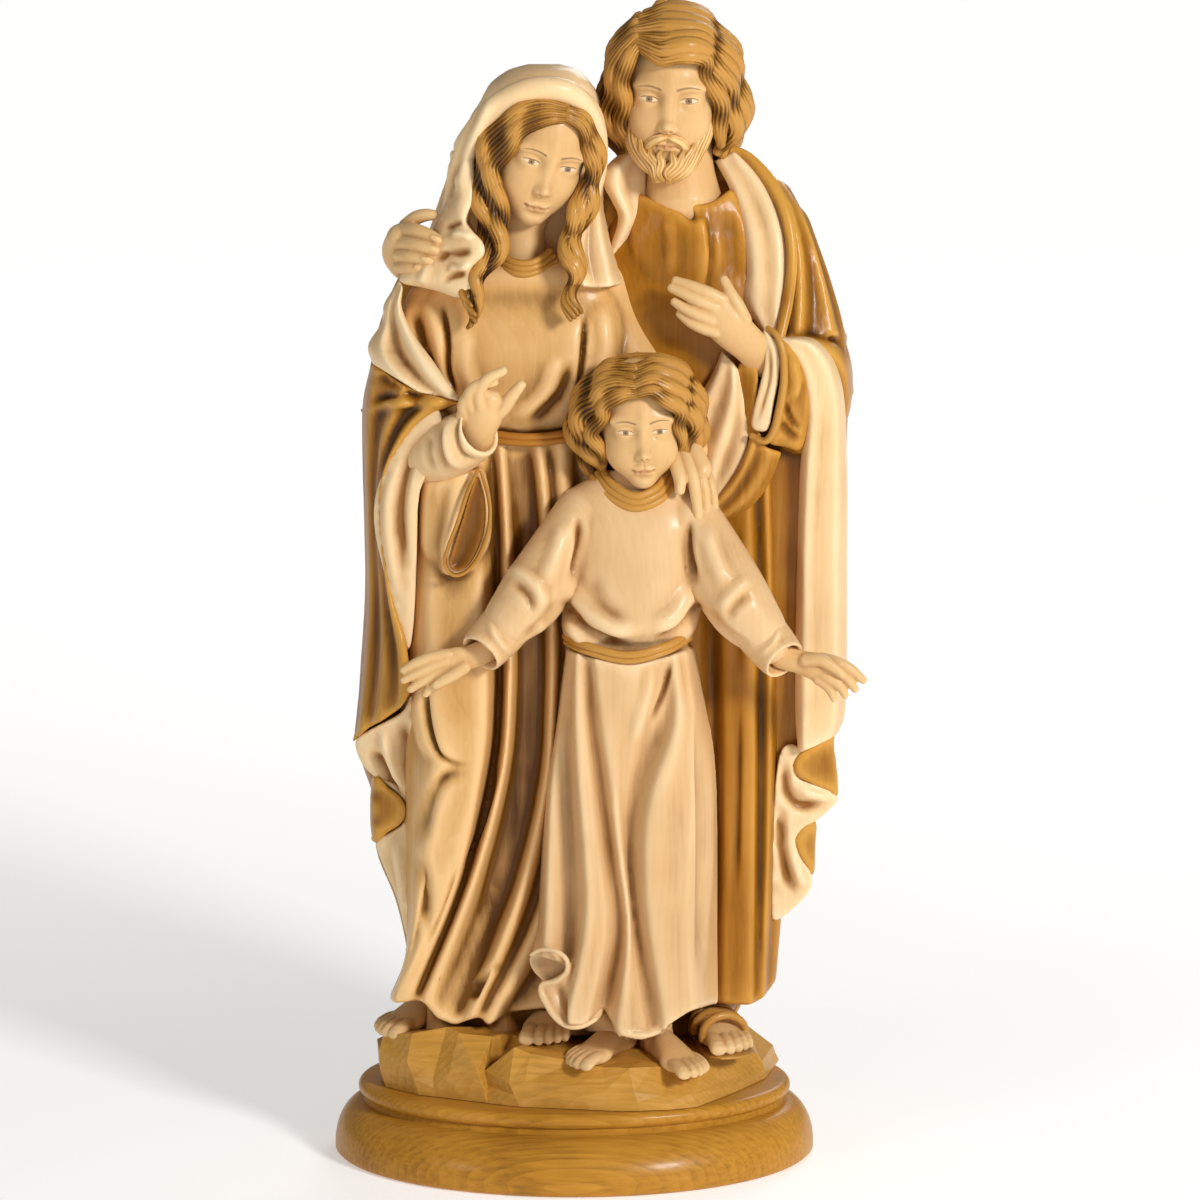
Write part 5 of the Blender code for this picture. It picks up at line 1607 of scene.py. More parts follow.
def father_robe():
    body = column(
        "robe_body",
        [
            (186, 650, 712, -6, -50),
            (200, 628, 744, 2, -60),
            (226, 606, 776, 12, -60),
            (262, 596, 786, 24, -60),
            (310, 592, 786, 32, -60),
            (370, 592, 776, 30, -60),
            (430, 592, 774, 20, -60),
            (520, 600, 780, 6, -60),
            (640, 600, 780, 4, -60),
            (860, 602, 776, 4, -60),
            (990, 608, 764, 6, -60),
        ],
        power=0.8,
    )
    flap = slab(
        "robe_flap",
        [
            (637, 192, 4),
            (648, 197, 12),
            (664, 204, 22),
            (680, 212, 28),
            (694, 222, 32),
            (701, 216, 32),
            (707, 230, 35),
            (709, 260, 37),
            (702, 292, 34),
            (680, 310, 26),
            (650, 300, 22),
            (630, 250, 16),
            (634, 215, 10),
        ],
        30,
        bulge=4,
        soft=8,
    )
    other = slab(
        "robe_other",
        [
            (684, 199, 22),
            (704, 204, 24),
            (722, 196, 18),
            (732, 188, 10),
            (742, 210, 16),
            (750, 250, 20),
            (744, 300, 22),
            (716, 310, 24),
            (698, 270, 28),
            (696, 230, 28),
            (694, 214, 26),
        ],
        34,
        bulge=2,
        soft=14,
    )
    skirt = drape(
        "robe_skirt",
        [
            ("edge", [(640, 480, 10), (640, 700, 10), (640, 998, 14)]),
            ("crest", [(690, 500, 36), (692, 700, 38), (694, 1000, 42)]),
            ("hollow", [(712, 510, 26), (714, 700, 26), (714, 860, 26), (712, 1002, 32)]),
            ("crest", [(724, 500, 40), (727, 640, 42), (727, 850, 42), (726, 1004, 44)]),
            ("crest", [(748, 476, 44), (752, 640, 46), (752, 850, 46), (750, 1005, 48)]),
            ("hollow", [(757, 466, 33), (761, 640, 32), (760, 850, 32), (757, 1001, 36)]),
            ("crest", [(766, 450, 40), (770, 640, 39), (768, 850, 39), (763, 998, 40)]),
            ("hollow", [(777, 440, 14), (780, 640, 10), (777, 850, 10), (769, 990, 16)]),
            ("edge", [(794, 430, 4), (794, 640, 2), (786, 850, 2), (776, 980, 4)]),
        ],
        50,
        rows=120,
        per=10,
    )
    thing = remeshed(joined("robe", [body, flap, other, skirt]), GARMENT_GRAIN, 6, 0.5)
    carve(
        thing,
        [
            ("ridge", 9, 2, [(714, 228), (717, 252), (712, 290)]),
            ("ridge", 12, 3, [(664, 210), (672, 240), (670, 280)]),
            ("valley", 14, 2, [(724, 210), (733, 242), (732, 284)]),
            ("crease", 5, 4, [(739, 700), (738, 800), (736, 900)]),
            ("valley", 8, 4, [(736, 520), (738, 580), (740, 680)]),
            ("crease", 5, 5, [(724, 520), (722, 560), (720, 620)]),
        ],
    )
    gouge_marks(thing, 200, 345, 600, 790, 0.3)
    return finish(thing, "father_robe", ROBE)


def father_linings():
    left = drape(
        "left",
        [
            ("edge", [(624, 150, -14), (606, 167, 0), (603, 184, 8), (612, 202, 12), (618, 220, 10), (607, 256, 2)]),
            ("crest", [(633, 149, -2), (617, 169, 14), (616, 187, 20), (623, 205, 22), (627, 223, 18), (612, 258, 8)]),
            ("hollow", [(641, 152, -8), (631, 173, 6), (631, 191, 10), (635, 207, 12), (635, 226, 10), (617, 259, 4)]),
            ("edge", [(650, 158, -20), (646, 178, -4), (646, 196, 0), (647, 212, 2), (643, 230, 2), (622, 260, -2)]),
        ],
        30,
        rows=80,
    )
    finish(left, "cloak_left_lining", LIGHT)
    right = drape(
        "right",
        [
            ("edge", [(714, 160, -20), (730, 190, 0), (742, 230, 14), (746, 270, 20), (742, 300, 22), (762, 332, 30)]),
            ("crest", [(720, 158, -8), (740, 190, 12), (753, 230, 26), (758, 270, 33), (757, 304, 38), (767, 334, 43)]),
            ("hollow", [(726, 155, -8), (750, 190, 12), (765, 230, 25), (770, 270, 32), (768, 307, 37), (771, 336, 42)]),
            ("crest", [(733, 152, -4), (759, 188, 15), (775, 228, 28), (779, 270, 35), (776, 310, 40), (775, 338, 45)]),
            ("edge", [(740, 152, -14), (768, 184, 6), (785, 226, 18), (789, 270, 24), (784, 312, 32), (779, 341, 40)]),
        ],
        36,
        rows=90,
    )
    finish(right, "cloak_right_lining", LIGHT)
    band = tube(
        "band",
        [
            (728, 149, -12, 5),
            (748, 158, -6, 6),
            (770, 182, 10, 6.5),
            (786, 216, 24, 6),
            (792, 256, 32, 5.5),
            (788, 300, 38, 5.5),
            (780, 338, 50, 5),
        ],
        flat=0.9,
        around=24,
    )
    finish(band, "cloak_rolled_edge", MANTLE)
    fall = drape(
        "fall",
        [
            ("edge", [(778, 352, 44), (796, 372, 48), (804, 420, 44), (800, 470, 36), (797, 560, 28), (795, 700, 26), (798, 754, 28)]),
            ("crest", [(777, 342, 60), (801, 356, 66), (814, 400, 62), (810, 470, 54), (806, 560, 48), (806, 700, 44), (804, 751, 42)]),
            ("hollow", [(777, 340, 59), (807, 352, 64), (822, 398, 60), (820, 470, 51), (816, 560, 45), (816, 700, 41), (814, 747, 40)]),
            ("crest", [(777, 338, 60), (812, 347, 65), (833, 392, 58), (835, 470, 50), (834, 560, 44), (833, 700, 38), (828, 740, 36)]),
            ("edge", [(777, 336, 44), (818, 341, 44), (842, 384, 32), (847, 470, 20), (847, 560, 14), (846, 700, 10), (838, 734, 12)]),
        ],
        34,
        rows=130,
    )
    finish(fall, "cloak_fall_lining", LIGHT)
    zigzag = slab(
        "zigzag",
        [
            (788, 744, 20),
            (802, 750, 24),
            (795, 764, 24),
            (799, 778, 24),
            (816, 784, 20),
            (830, 788, 16),
            (838, 799, 12),
            (830, 809, 12),
            (816, 821, 14),
            (804, 827, 18),
            (796, 838, 20),
            (797, 849, 20),
            (802, 860, 18),
            (811, 873, 12),
            (811, 888, 10),
            (799, 903, 12),
            (775, 921, 16),
            (771, 900, 20),
            (773, 820, 24),
            (778, 760, 24),
        ],
        44,
        bulge=3,
        soft=3,
    )
    carve(
        zigzag,
        [
            ("valley", 9, 7, [(784, 756), (786, 790), (800, 806), (828, 804)]),
            ("ridge", 8, 5, [(794, 784), (810, 794), (832, 798)]),
            ("valley", 9, 7, [(780, 800), (782, 850), (790, 884), (802, 896)]),
            ("ridge", 8, 5, [(790, 852), (798, 874), (804, 890)]),
        ],
    )
    finish(zigzag, "cloak_hem_lining", LIGHT)
    sash = drape(
        "sash",
        [
            ("edge", [(722, 350, 30), (712, 374, 34), (698, 400, 36), (690, 430, 38), (690, 462, 42), (701, 494, 46)]),
            ("crest", [(725, 354, 42), (718, 380, 48), (706, 408, 50), (697, 438, 52), (696, 466, 54), (704, 498, 54)]),
            ("hollow", [(729, 358, 44), (725, 388, 48), (715, 418, 49), (706, 446, 50), (702, 474, 52), (707, 502, 54)]),
            ("crest", [(733, 362, 48), (733, 396, 55), (726, 428, 57), (716, 456, 57), (710, 480, 57), (710, 506, 56)]),
            ("valley", [(736, 366, 46), (739, 402, 50), (735, 434, 50), (726, 462, 50), (718, 486, 52), (713, 509, 54)]),
            ("edge", [(739, 370, 46), (746, 406, 50), (748, 440, 52), (738, 470, 52), (726, 492, 52), (716, 512, 52)]),
        ],
        34,
        rows=70,
    )
    finish(sash, "cloak_sash_lining", LIGHT)
    sash_edge = drape(
        "sash_edge",
        [
            ("edge", [(751, 432, 50), (742, 458, 50), (726, 484, 50), (706, 508, 48)]),
            ("crest", [(755, 436, 60), (746, 463, 62), (731, 488, 62), (710, 512, 60)]),
            ("valley", [(760, 442, 56), (751, 469, 56), (735, 494, 56), (713, 516, 56)]),
            ("crest", [(768, 448, 58), (758, 476, 59), (741, 501, 59), (716, 520, 58)]),
            ("edge", [(782, 452, 46), (770, 482, 46), (750, 508, 46), (718, 527, 46)]),
        ],
        34,
        rows=60,
    )
    finish(sash_edge, "cloak_sash_edge", MANTLE)


def father_sleeve():
    outer = slab(
        "outer",
        [
            (780, 338, 58),
            (796, 350, 62),
            (807, 372, 60),
            (812, 400, 56),
            (809, 430, 50),
            (800, 450, 46),
            (786, 447, 50),
            (768, 442, 56),
            (774, 420, 62),
            (780, 390, 66),
            (782, 360, 64),
        ],
        50,
        bulge=8,
    )
    carve(
        outer,
        [
            ("crease", 5, 6, [(784, 400), (790, 418), (800, 432)]),
            ("ridge", 8, 5, [(790, 352), (796, 380), (792, 404)]),
            ("valley", 7, 5, [(778, 420), (790, 434), (800, 444)]),
        ],
    )
    finish(outer, "father_sleeve", MANTLE)
    inner = slab(
        "inner",
        [
            (738, 366, 44),
            (748, 362, 52),
            (758, 372, 56),
            (756, 400, 57),
            (754, 420, 57),
            (762, 438, 57),
            (748, 436, 48),
            (740, 418, 42),
            (736, 396, 40),
        ],
        26,
        bulge=3,
    )
    finish(inner, "father_sleeve_back", MANTLE)
    light = slab(
        "light",
        [
            (763, 330, 58),
            (772, 336, 63),
            (779, 350, 66),
            (779, 376, 67),
            (774, 402, 66),
            (768, 430, 64),
            (752, 428, 60),
            (754, 408, 60),
            (760, 384, 60),
            (765, 360, 60),
        ],
        30,
        bulge=4,
    )
    carve(light, [("crease", 4, 4, [(768, 344), (769, 374), (762, 404), (757, 422)])])
    finish(light, "father_sleeve_lining", LIGHT)
    rim = tube(
        "rim",
        [
            (768, 328, 60, 2.6),
            (777, 336, 66, 3.4),
            (783, 354, 69, 3.8),
            (784, 380, 70, 4.0),
            (780, 406, 69, 4.0),
            (774, 430, 67, 4.0),
            (765, 441, 64, 3.8),
            (752, 436, 60, 3.4),
        ],
    )
    finish(rim, "father_sleeve_rim", TRIM)


def father_head():
    face = Head(*FATHER_HEAD)
    face.build("father_face")
    neck = tube(
        "neck", [(678, 130, -18, 34), (680, 165, -16, 33), (682, 200, -14, 40)], around=36
    )
    finish(remeshed(neck, SKIN_GRAIN, 2), "father_neck", SKIN)
    cap = face.locks("cap", [[(0, 0.12, 0.60, 0.36), (0, 0.14, 0.66, 0.365)]] * 2, 1, flutes=0, groove=0)
    nape = column(
        "nape",
        [
            (20, 640, 712, -14, -60),
            (60, 620, 730, -20, -84),
            (110, 616, 736, -24, -92),
            (150, 626, 724, -34, -86),
            (168, 638, 710, -44, -76),
        ],
        power=1.0,
    )
    right = strands(
        "right",
        [
            [
                (640, 46, 50, 5),
                (660, 58, 63, 7),
                (684, 56, 64, 7),
                (702, 60, 56, 7),
                (711, 78, 46, 7),
                (717, 100, 34, 8),
                (723, 122, 22, 8),
                (718, 144, 10, 4),
            ],
            [
                (638, 40, 48, 5),
                (664, 46, 62, 7),
                (692, 42, 58, 8),
                (715, 58, 40, 8),
                (727, 80, 26, 8),
                (737, 104, 12, 8),
                (735, 130, 2, 7),
                (722, 154, -6, 4),
            ],
            [
                (638, 31, 42, 5),
                (669, 29, 48, 8),
                (701, 34, 40, 8),
                (725, 54, 20, 8),
                (736, 82, 4, 8),
                (741, 108, -10, 8),
                (737, 134, -20, 7),
                (720, 158, -26, 4),
            ],
            [
                (641, 22, 30, 5),
                (674, 16, 28, 8),
                (705, 26, 14, 8),
                (728, 50, -6, 8),
                (736, 82, -20, 8),
                (741, 110, -34, 8),
                (735, 136, -42, 7),
                (716, 162, -46, 4),
            ],
            [
                (648, 15, 12, 6),
                (680, 9, 4, 8),
                (708, 22, -12, 8),
                (728, 48, -32, 8),
                (734, 82, -46, 8),
                (737, 112, -56, 8),
                (730, 140, -60, 7),
                (712, 166, -62, 4),
            ],
        ],
        7,
        wave=3.2,
        length=54,
        around=60,
        flutes=13,
        groove=0.05,
        swell=1.3,
    )
    left = strands(
        "left",
        [
            [
                (638, 44, 50, 5),
                (628, 58, 52, 7),
                (624, 80, 44, 7),
                (622, 102, 32, 8),
                (624, 124, 18, 8),
                (631, 146, 8, 5),
            ],
            [
                (635, 37, 46, 5),
                (621, 54, 40, 7),
                (613, 78, 28, 8),
                (609, 102, 14, 8),
                (611, 128, 2, 7),
                (624, 152, -8, 4),
            ],
            [
                (635, 27, 36, 5),
                (620, 48, 22, 8),
                (612, 76, 8, 8),
                (608, 104, -8, 8),
                (611, 130, -18, 7),
                (625, 154, -26, 4),
            ],
            [
                (640, 18, 20, 6),
                (622, 42, 0, 8),
                (613, 74, -18, 8),
                (610, 104, -34, 8),
                (614, 132, -44, 7),
                (629, 156, -50, 4),
            ],
        ],
        5,
        wave=3.0,
        length=54,
        around=60,
        flutes=13,
        groove=0.05,
        swell=1.3,
    )
    back = strands(
        "back",
        [
            [(660, 10, -16, 8), (640, 34, -50, 9), (624, 74, -66, 9), (622, 114, -70, 9), (634, 156, -66, 6)],
            [(664, 8, -20, 8), (656, 30, -64, 9), (648, 72, -90, 9), (648, 114, -96, 9), (654, 160, -84, 6)],
            [(672, 8, -22, 8), (676, 28, -68, 9), (678, 70, -96, 9), (678, 114, -102, 9), (678, 164, -88, 6)],
            [(680, 10, -20, 8), (696, 30, -62, 9), (706, 72, -88, 9), (708, 114, -94, 9), (700, 160, -82, 6)],
            [(684, 12, -16, 8), (712, 34, -48, 9), (728, 74, -64, 9), (730, 114, -70, 9), (716, 156, -66, 6)],
        ],
        8,
        wave=2.0,
        length=60,
        around=56,
        flutes=12,
        groove=0.05,
        swell=1.2,
    )
    thing = joined("hair", [*cap, nape, *right, *left, *back])
    # The high gain paints highlights on the locks and shade in the grooves between them.
    finish(thing, "father_hair", HAIR, reach=6, gain=1.9, keep=0.4)
    beard = []
    for side in (-1, 1):
        beard += face.locks(
            "mass",
            [
                [
                    (side * 0.245, -0.08, 0.36, 0.030),
                    (side * 0.232, -0.13, 0.24, 0.050),
                    (side * 0.175, -0.20, 0.12, 0.064),
                    (side * 0.085, -0.265, 0.05, 0.066),
                    (side * 0.040, -0.285, 0.00, 0.050),
                ]
            ]
            * 2,
            1,
            flutes=0,
            groove=0,
        )
        beard += face.locks(
            "beard",
            [
                [
                    (side * 0.268, -0.10, 0.42, 0.022),
                    (side * 0.268, -0.14, 0.30, 0.028),
                    (side * 0.245, -0.19, 0.17, 0.030),
                    (side * 0.165, -0.26, 0.04, 0.030),
                    (side * 0.085, -0.29, -0.035, 0.016),
                ],
                [
                    (side * 0.245, -0.165, 0.335, 0.018),
                    (side * 0.238, -0.205, 0.25, 0.026),
                    (side * 0.195, -0.262, 0.14, 0.028),
                    (side * 0.120, -0.315, 0.03, 0.028),
                    (side * 0.055, -0.320, -0.060, 0.014),
                ],
                [
                    (side * 0.165, -0.285, 0.175, 0.016),
                    (side * 0.145, -0.310, 0.13, 0.022),
                    (side * 0.105, -0.335, 0.08, 0.026),
                    (side * 0.065, -0.345, 0.02, 0.026),
                    (side * 0.030, -0.335, -0.055, 0.013),
                ],
                [
                    (side * 0.036, -0.326, 0.145, 0.012),
                    (side * 0.044, -0.342, 0.112, 0.024),
                    (side * 0.040, -0.352, 0.07, 0.030),
                    (side * 0.028, -0.354, 0.02, 0.028),
                    (side * 0.022, -0.346, -0.040, 0.013),
                ],
            ],
            6,
            wave=0.02,
            around=30,
            flutes=6,
            groove=0.09,
        )
        beard += face.locks(
            "moustache",
            [
                [
                    (side * 0.008, -0.362, 0.250, 0.014),
                    (side * 0.050, -0.362, 0.240, 0.022),
                    (side * 0.104, -0.328, 0.208, 0.024),
                    (side * 0.150, -0.284, 0.150, 0.013),
                ],
                [
                    (side * 0.010, -0.356, 0.236, 0.012),
                    (side * 0.046, -0.356, 0.224, 0.018),
                    (side * 0.092, -0.328, 0.192, 0.018),
                    (side * 0.128, -0.296, 0.140, 0.010),
                ],
            ],
            3,
        )
    # The high gain paints highlights on the locks and shade in the grooves between them.
    finish(joined("beard", beard), "father_beard", BEARD, reach=6, gain=2.0, keep=0.7)


def father_hands():
    parts = [
        tube("palm", [(764, 362, 46, 17), (750, 346, 58, 18), (730, 328, 64, 20), (716, 314, 64, 20)], flat=0.5, around=28),
        *tubes(
            "finger",
            [
                [(722, 300, 66, 7), (706, 292, 68, 6.6), (690, 286, 66, 6), (676, 281, 62, 4.8)],
                [(716, 308, 68, 7), (698, 300, 70, 6.6), (684, 293, 68, 6), (672, 288, 64, 4.8)],
                [(712, 320, 68, 7), (696, 314, 69, 6.4), (684, 308, 67, 5.6), (675, 302, 64, 4.6)],
                [(716, 332, 67, 6.6), (702, 328, 68, 6), (690, 322, 66, 5.4), (680, 314, 63, 4.4)],
                [(744, 320, 64, 8), (738, 306, 66, 6.8), (731, 294, 65, 6), (724, 280, 61, 4.8)],
            ],
            around=14,
        ),
    ]
    skin_piece("father_left_hand", parts)
    parts = [
        tube("palm", [(408, 262, -10, 20), (402, 252, 10, 20), (404, 240, 26, 18)], flat=0.9, around=28),
        *tubes(
            "finger",
            [
                [(404, 230, 32, 7.6), (416, 231, 48, 7.4), (428, 235, 56, 6.8), (438, 240, 60, 5.8)],
                [(401, 243, 36, 7.6), (414, 244, 52, 7.4), (426, 247, 60, 6.8), (435, 250, 62, 5.8)],
                [(400, 255, 36, 7.4), (410, 256, 50, 7), (420, 258, 57, 6.4), (429, 261, 60, 5.6)],
                [(400, 267, 34, 7), (408, 267, 46, 6.6), (415, 268, 52, 6), (421, 269, 54, 5.2)],
                [(406, 226, 22, 7.6), (416, 218, 32, 7.2), (426, 215, 38, 6.4), (433, 215, 40, 5.4)],
            ],
            around=14,
        ),
        nail("nail_0", 436, 239, 65, 24),
        nail("nail_1", 433, 249, 67, 20),
        nail("nail_2", 427, 260, 65, 18),
        nail("nail_3", 419, 268, 59, 10, 3.0),
    ]
    skin_piece("father_right_hand", parts)


def father_foot():
    tread = Foot((734, 1057, 84), 14, 126, -1)
    tread.build("father_foot")
    straps = [
        tread.strap("strap_front", 0.70, 0.03, 0.034),
        tread.strap("strap_middle", 0.52, -0.05, 0.034),
        tread.strap("strap_back", 0.36, 0.06, 0.034),
    ]
    sole = tread.sections(
        "sandal_sole",
        [
            (0, 0.0, -0.005, 0.06, 0.012),
            (0, 0.08, 0.0, 0.15, 0.022),
            (0, 0.4, 0.0, 0.17, 0.022),
            (0, 0.7, 0.0, 0.215, 0.022),
            (0, 0.92, 0.0, 0.20, 0.022),
            (0.03, 1.02, -0.005, 0.10, 0.012),
        ],
    )
    thing = remeshed(joined("sandal", [*straps, sole]), 0.0008, 2)
    finish(thing, "father_sandal", TRIM)


# The child


def child_robe():
    body = column(
        "robe_body",
        [
            (470, 606, 668, 92, 40),
            (484, 578, 690, 100, 32),
            (500, 558, 706, 108, 26),
            (530, 556, 712, 118, 20),
            (570, 562, 706, 124, 16),
            (604, 562, 702, 130, 14),
            (628, 562, 696, 134, 14),
            (641, 566, 690, 126, 14),
            (650, 569, 688, 116, 14),
            (700, 556, 704, 96, 12),
            (783, 549, 710, 92, 10),
            (895, 545, 712, 92, 8),
            (960, 560, 706, 92, 6),
            (996, 600, 690, 90, 6),
        ],
        power=0.85,
    )
    skirt = drape(
        "robe_skirt",
        [
            ("edge", [(566, 645, 56), (556, 720, 56), (545, 790, 56), (540, 870, 56), (537, 920, 56), (530, 954, 60)]),
            ("crest", [(568, 648, 92), (560, 720, 100), (552, 790, 108), (549, 870, 112), (547, 925, 116), (546, 958, 122)]),
            ("hollow", [(572, 650, 106), (567, 715, 106), (568, 780, 106), (571, 860, 106), (573, 925, 106), (568, 966, 112)]),
            ("crest", [(577, 652, 118), (577, 715, 128), (580, 780, 134), (587, 860, 138), (588, 930, 140), (567, 1025, 144)]),
            ("hollow", [(582, 653, 116), (583, 715, 126), (588, 780, 132), (597, 860, 134), (602, 930, 134), (584, 1025, 142)]),
            ("hollow", [(588, 654, 116), (590, 715, 116), (599, 780, 116), (610, 860, 116), (619, 930, 116), (604, 1006, 116)]),
            ("crest", [(596, 656, 127), (604, 715, 130), (614, 790, 130), (622, 860, 130), (630, 930, 132), (620, 1036, 142)]),
            ("hollow", [(622, 658, 130), (630, 715, 128), (626, 775, 124), (625, 830, 120), (632, 925, 122), (640, 1039, 138)]),
            ("hollow", [(666, 655, 120), (665, 715, 116), (637, 780, 114), (627, 840, 114), (635, 930, 114), (656, 1033, 128)]),
            ("crest", [(674, 653, 118), (678, 726, 130), (655, 800, 138), (648, 860, 142), (653, 930, 136), (668, 1024, 136)]),
            ("crest", [(683, 650, 106), (692, 720, 118), (690, 800, 128), (686, 870, 134), (684, 930, 128), (690, 1011, 128)]),
            ("edge", [(694, 645, 60), (707, 722, 60), (715, 792, 60), (717, 879, 58), (717, 940, 58), (717, 1003, 62)]),
        ],
        48,
        rows=150,
        per=10,
    )
    arms = [
        tube(
            "arm_right",
            [
                (584, 516, 80, 30),
                (554, 562, 94, 32),
                (530, 598, 104, 33),
                (510, 620, 110, 27),
                (500, 632, 111, 22),
            ],
            around=40,
        ),
        tube(
            "arm_left",
            [
                (690, 520, 80, 31),
                (720, 572, 94, 34),
                (742, 608, 104, 33),
                (760, 630, 109, 27),
                (768, 642, 110, 22),
            ],
            around=40,
        ),
    ]
    inner = column("robe_inner", [(880, 560, 690, 92, 0), (1000, 566, 670, 96, 0), (1032, 588, 636, 84, 0)])
    thing = remeshed(joined("robe", [body, skirt, inner, *arms]), GARMENT_GRAIN * 0.8, 8)
    carve(
        thing,
        [
            ("crease", 8, 10, [(577, 512), (579, 546), (572, 584)]),
            ("crease", 8, 10, [(690, 514), (688, 550), (696, 588)]),
            ("ridge", 14, 5, [(566, 516), (556, 552), (542, 590)]),
            ("ridge", 14, 5, [(704, 520), (714, 556), (730, 592)]),
            ("ridge", 15, 6, [(566, 574), (582, 606), (612, 628), (644, 636)]),
            ("valley", 10, 8, [(562, 594), (582, 626), (606, 640), (636, 646)]),
            ("ridge", 10, 6, [(564, 616), (584, 640), (612, 650)]),
            ("ridge", 15, 6, [(696, 580), (678, 612), (650, 632)]),
            ("valley", 10, 8, [(700, 598), (682, 630), (650, 644)]),
            ("valley", 14, 4, [(588, 570), (602, 604), (630, 622)]),
            ("crease", 6, 7, [(560, 640), (590, 652), (627, 661), (662, 653), (696, 639)]),
            ("crease", 4, 6, [(672, 656), (664, 690), (650, 726)]),
            ("ridge", 10, 4, [(654, 660), (647, 694), (632, 750)]),
            ("ridge", 10, 5, [(704, 680), (709, 780), (709, 920)]),
            ("valley", 8, 6, [(697, 700), (702, 800), (702, 900), (698, 990)]),
            ("valley", 8, 4, [(508, 584), (520, 588), (529, 598), (533, 614)]),
            ("ridge", 11, 5, [(500, 570), (522, 574), (538, 590), (544, 616)]),
            ("valley", 12, 5, [(560, 596), (546, 622), (520, 644)]),
            ("ridge", 9, 5, [(550, 622), (536, 640), (514, 654)]),
            ("valley", 8, 3, [(752, 592), (738, 604), (724, 622)]),
            ("ridge", 11, 4, [(754, 576), (736, 590), (716, 614)]),
            ("valley", 12, 6, [(700, 600), (720, 630), (752, 654)]),
            ("lip", 9, 4, [(697, 1008), (650, 1032), (618, 1030)]),
        ],
    )
    pleats(thing, (630, 60), 7, 7, 500, 80)
    finish(thing, "child_robe", CHILD_ROBE)
    curl = [
        (531, 955, 116, 2.4),
        (541, 950, 122, 2.6),
        (555, 951, 128, 2.8),
        (566, 959, 130, 2.8),
        (567, 971, 129, 2.8),
        (557, 981, 126, 2.8),
        (543, 984, 120, 2.8),
        (541, 992, 120, 3.0),
        (547, 1005, 124, 3.2),
        (556, 1018, 130, 3.2),
        (568, 1026, 134, 3.2),
        (582, 1026, 136, 3.0),
        (596, 1019, 132, 2.6),
    ]
    under = slab(
        "under",
        [
            (541, 984, 118),
            (550, 980, 122),
            (566, 970, 130),
            (580, 950, 120),
            (600, 960, 108),
            (606, 990, 108),
            (604, 1010, 112),
            (597, 1021, 122),
            (582, 1027, 134),
            (566, 1026, 134),
            (552, 1009, 124),
        ],
        24,
        bulge=4,
    )
    carve(under, [("valley", 10, 7, [(552, 984), (566, 1000), (574, 1026)])])
    pits = [
        slab(
            "pit",
            [(530, 956, 98), (548, 950, 106), (566, 960, 112), (565, 974, 108), (550, 983, 104), (534, 972, 98)],
            12,
            bulge=-6,
            voxel=0.0008,
        ),
    ]
    whorl = remeshed(joined("whorls", [tube("curl", curl), under, *pits]), 0.0008, 4)
    finish(whorl, "child_hem_curl", CHILD_ROBE)
    cuffs = [
        tube(
            "cuff_right",
            [(512, 618, 106, 25), (501, 631, 109, 25), (490, 643, 113, 24), (481, 653, 121, 22)],
            around=44,
            open_end=0.16,
        ),
        tube(
            "cuff_left",
            [(756, 626, 106, 26), (767, 640, 109, 25), (776, 651, 113, 24), (784, 660, 121, 22)],
            around=44,
            open_end=0.16,
        ),
    ]
    cuffs = remeshed(joined("cuffs", cuffs), 0.0007, 3)
    carve(
        cuffs,
        [
            ("ridge", 6, 3, [(488, 618), (496, 638), (512, 656)]),
            ("ridge", 6, 3, [(780, 624), (774, 642), (758, 658)]),
        ],
    )
    finish(cuffs, "child_cuffs", CHILD_ROBE)


def child_trim():
    collar = []
    for step, (drop, grow) in enumerate(((0, 0), (6, 5), (12, 10))):
        path = [
            (603 - grow, 470 + drop * 0.6, 80, 3.6),
            (612 - grow * 0.6, 484 + drop * 0.9, 100, 4.0),
            (634, 496 + drop, 112, 4.0),
            (656 + grow * 0.6, 488 + drop * 0.9, 104, 4.0),
            (668 + grow, 470 + drop * 0.6, 84, 3.6),
        ]
        collar.append(tube(f"collar_{step}", path))
    finish(joined("collar", collar), "child_collar", TRIM)
    belt = tubes(
        "belt",
        [
            [(566, 636, 80, 4), (584, 645, 118, 4), (627, 655, 131, 4), (666, 646, 122, 4), (690, 632, 82, 4)],
            [(566, 642, 80, 3), (584, 651, 118, 3), (627, 661, 130, 3), (666, 652, 122, 3), (690, 638, 82, 3)],
        ],
    )
    finish(joined("belt", belt), "child_belt", TRIM)


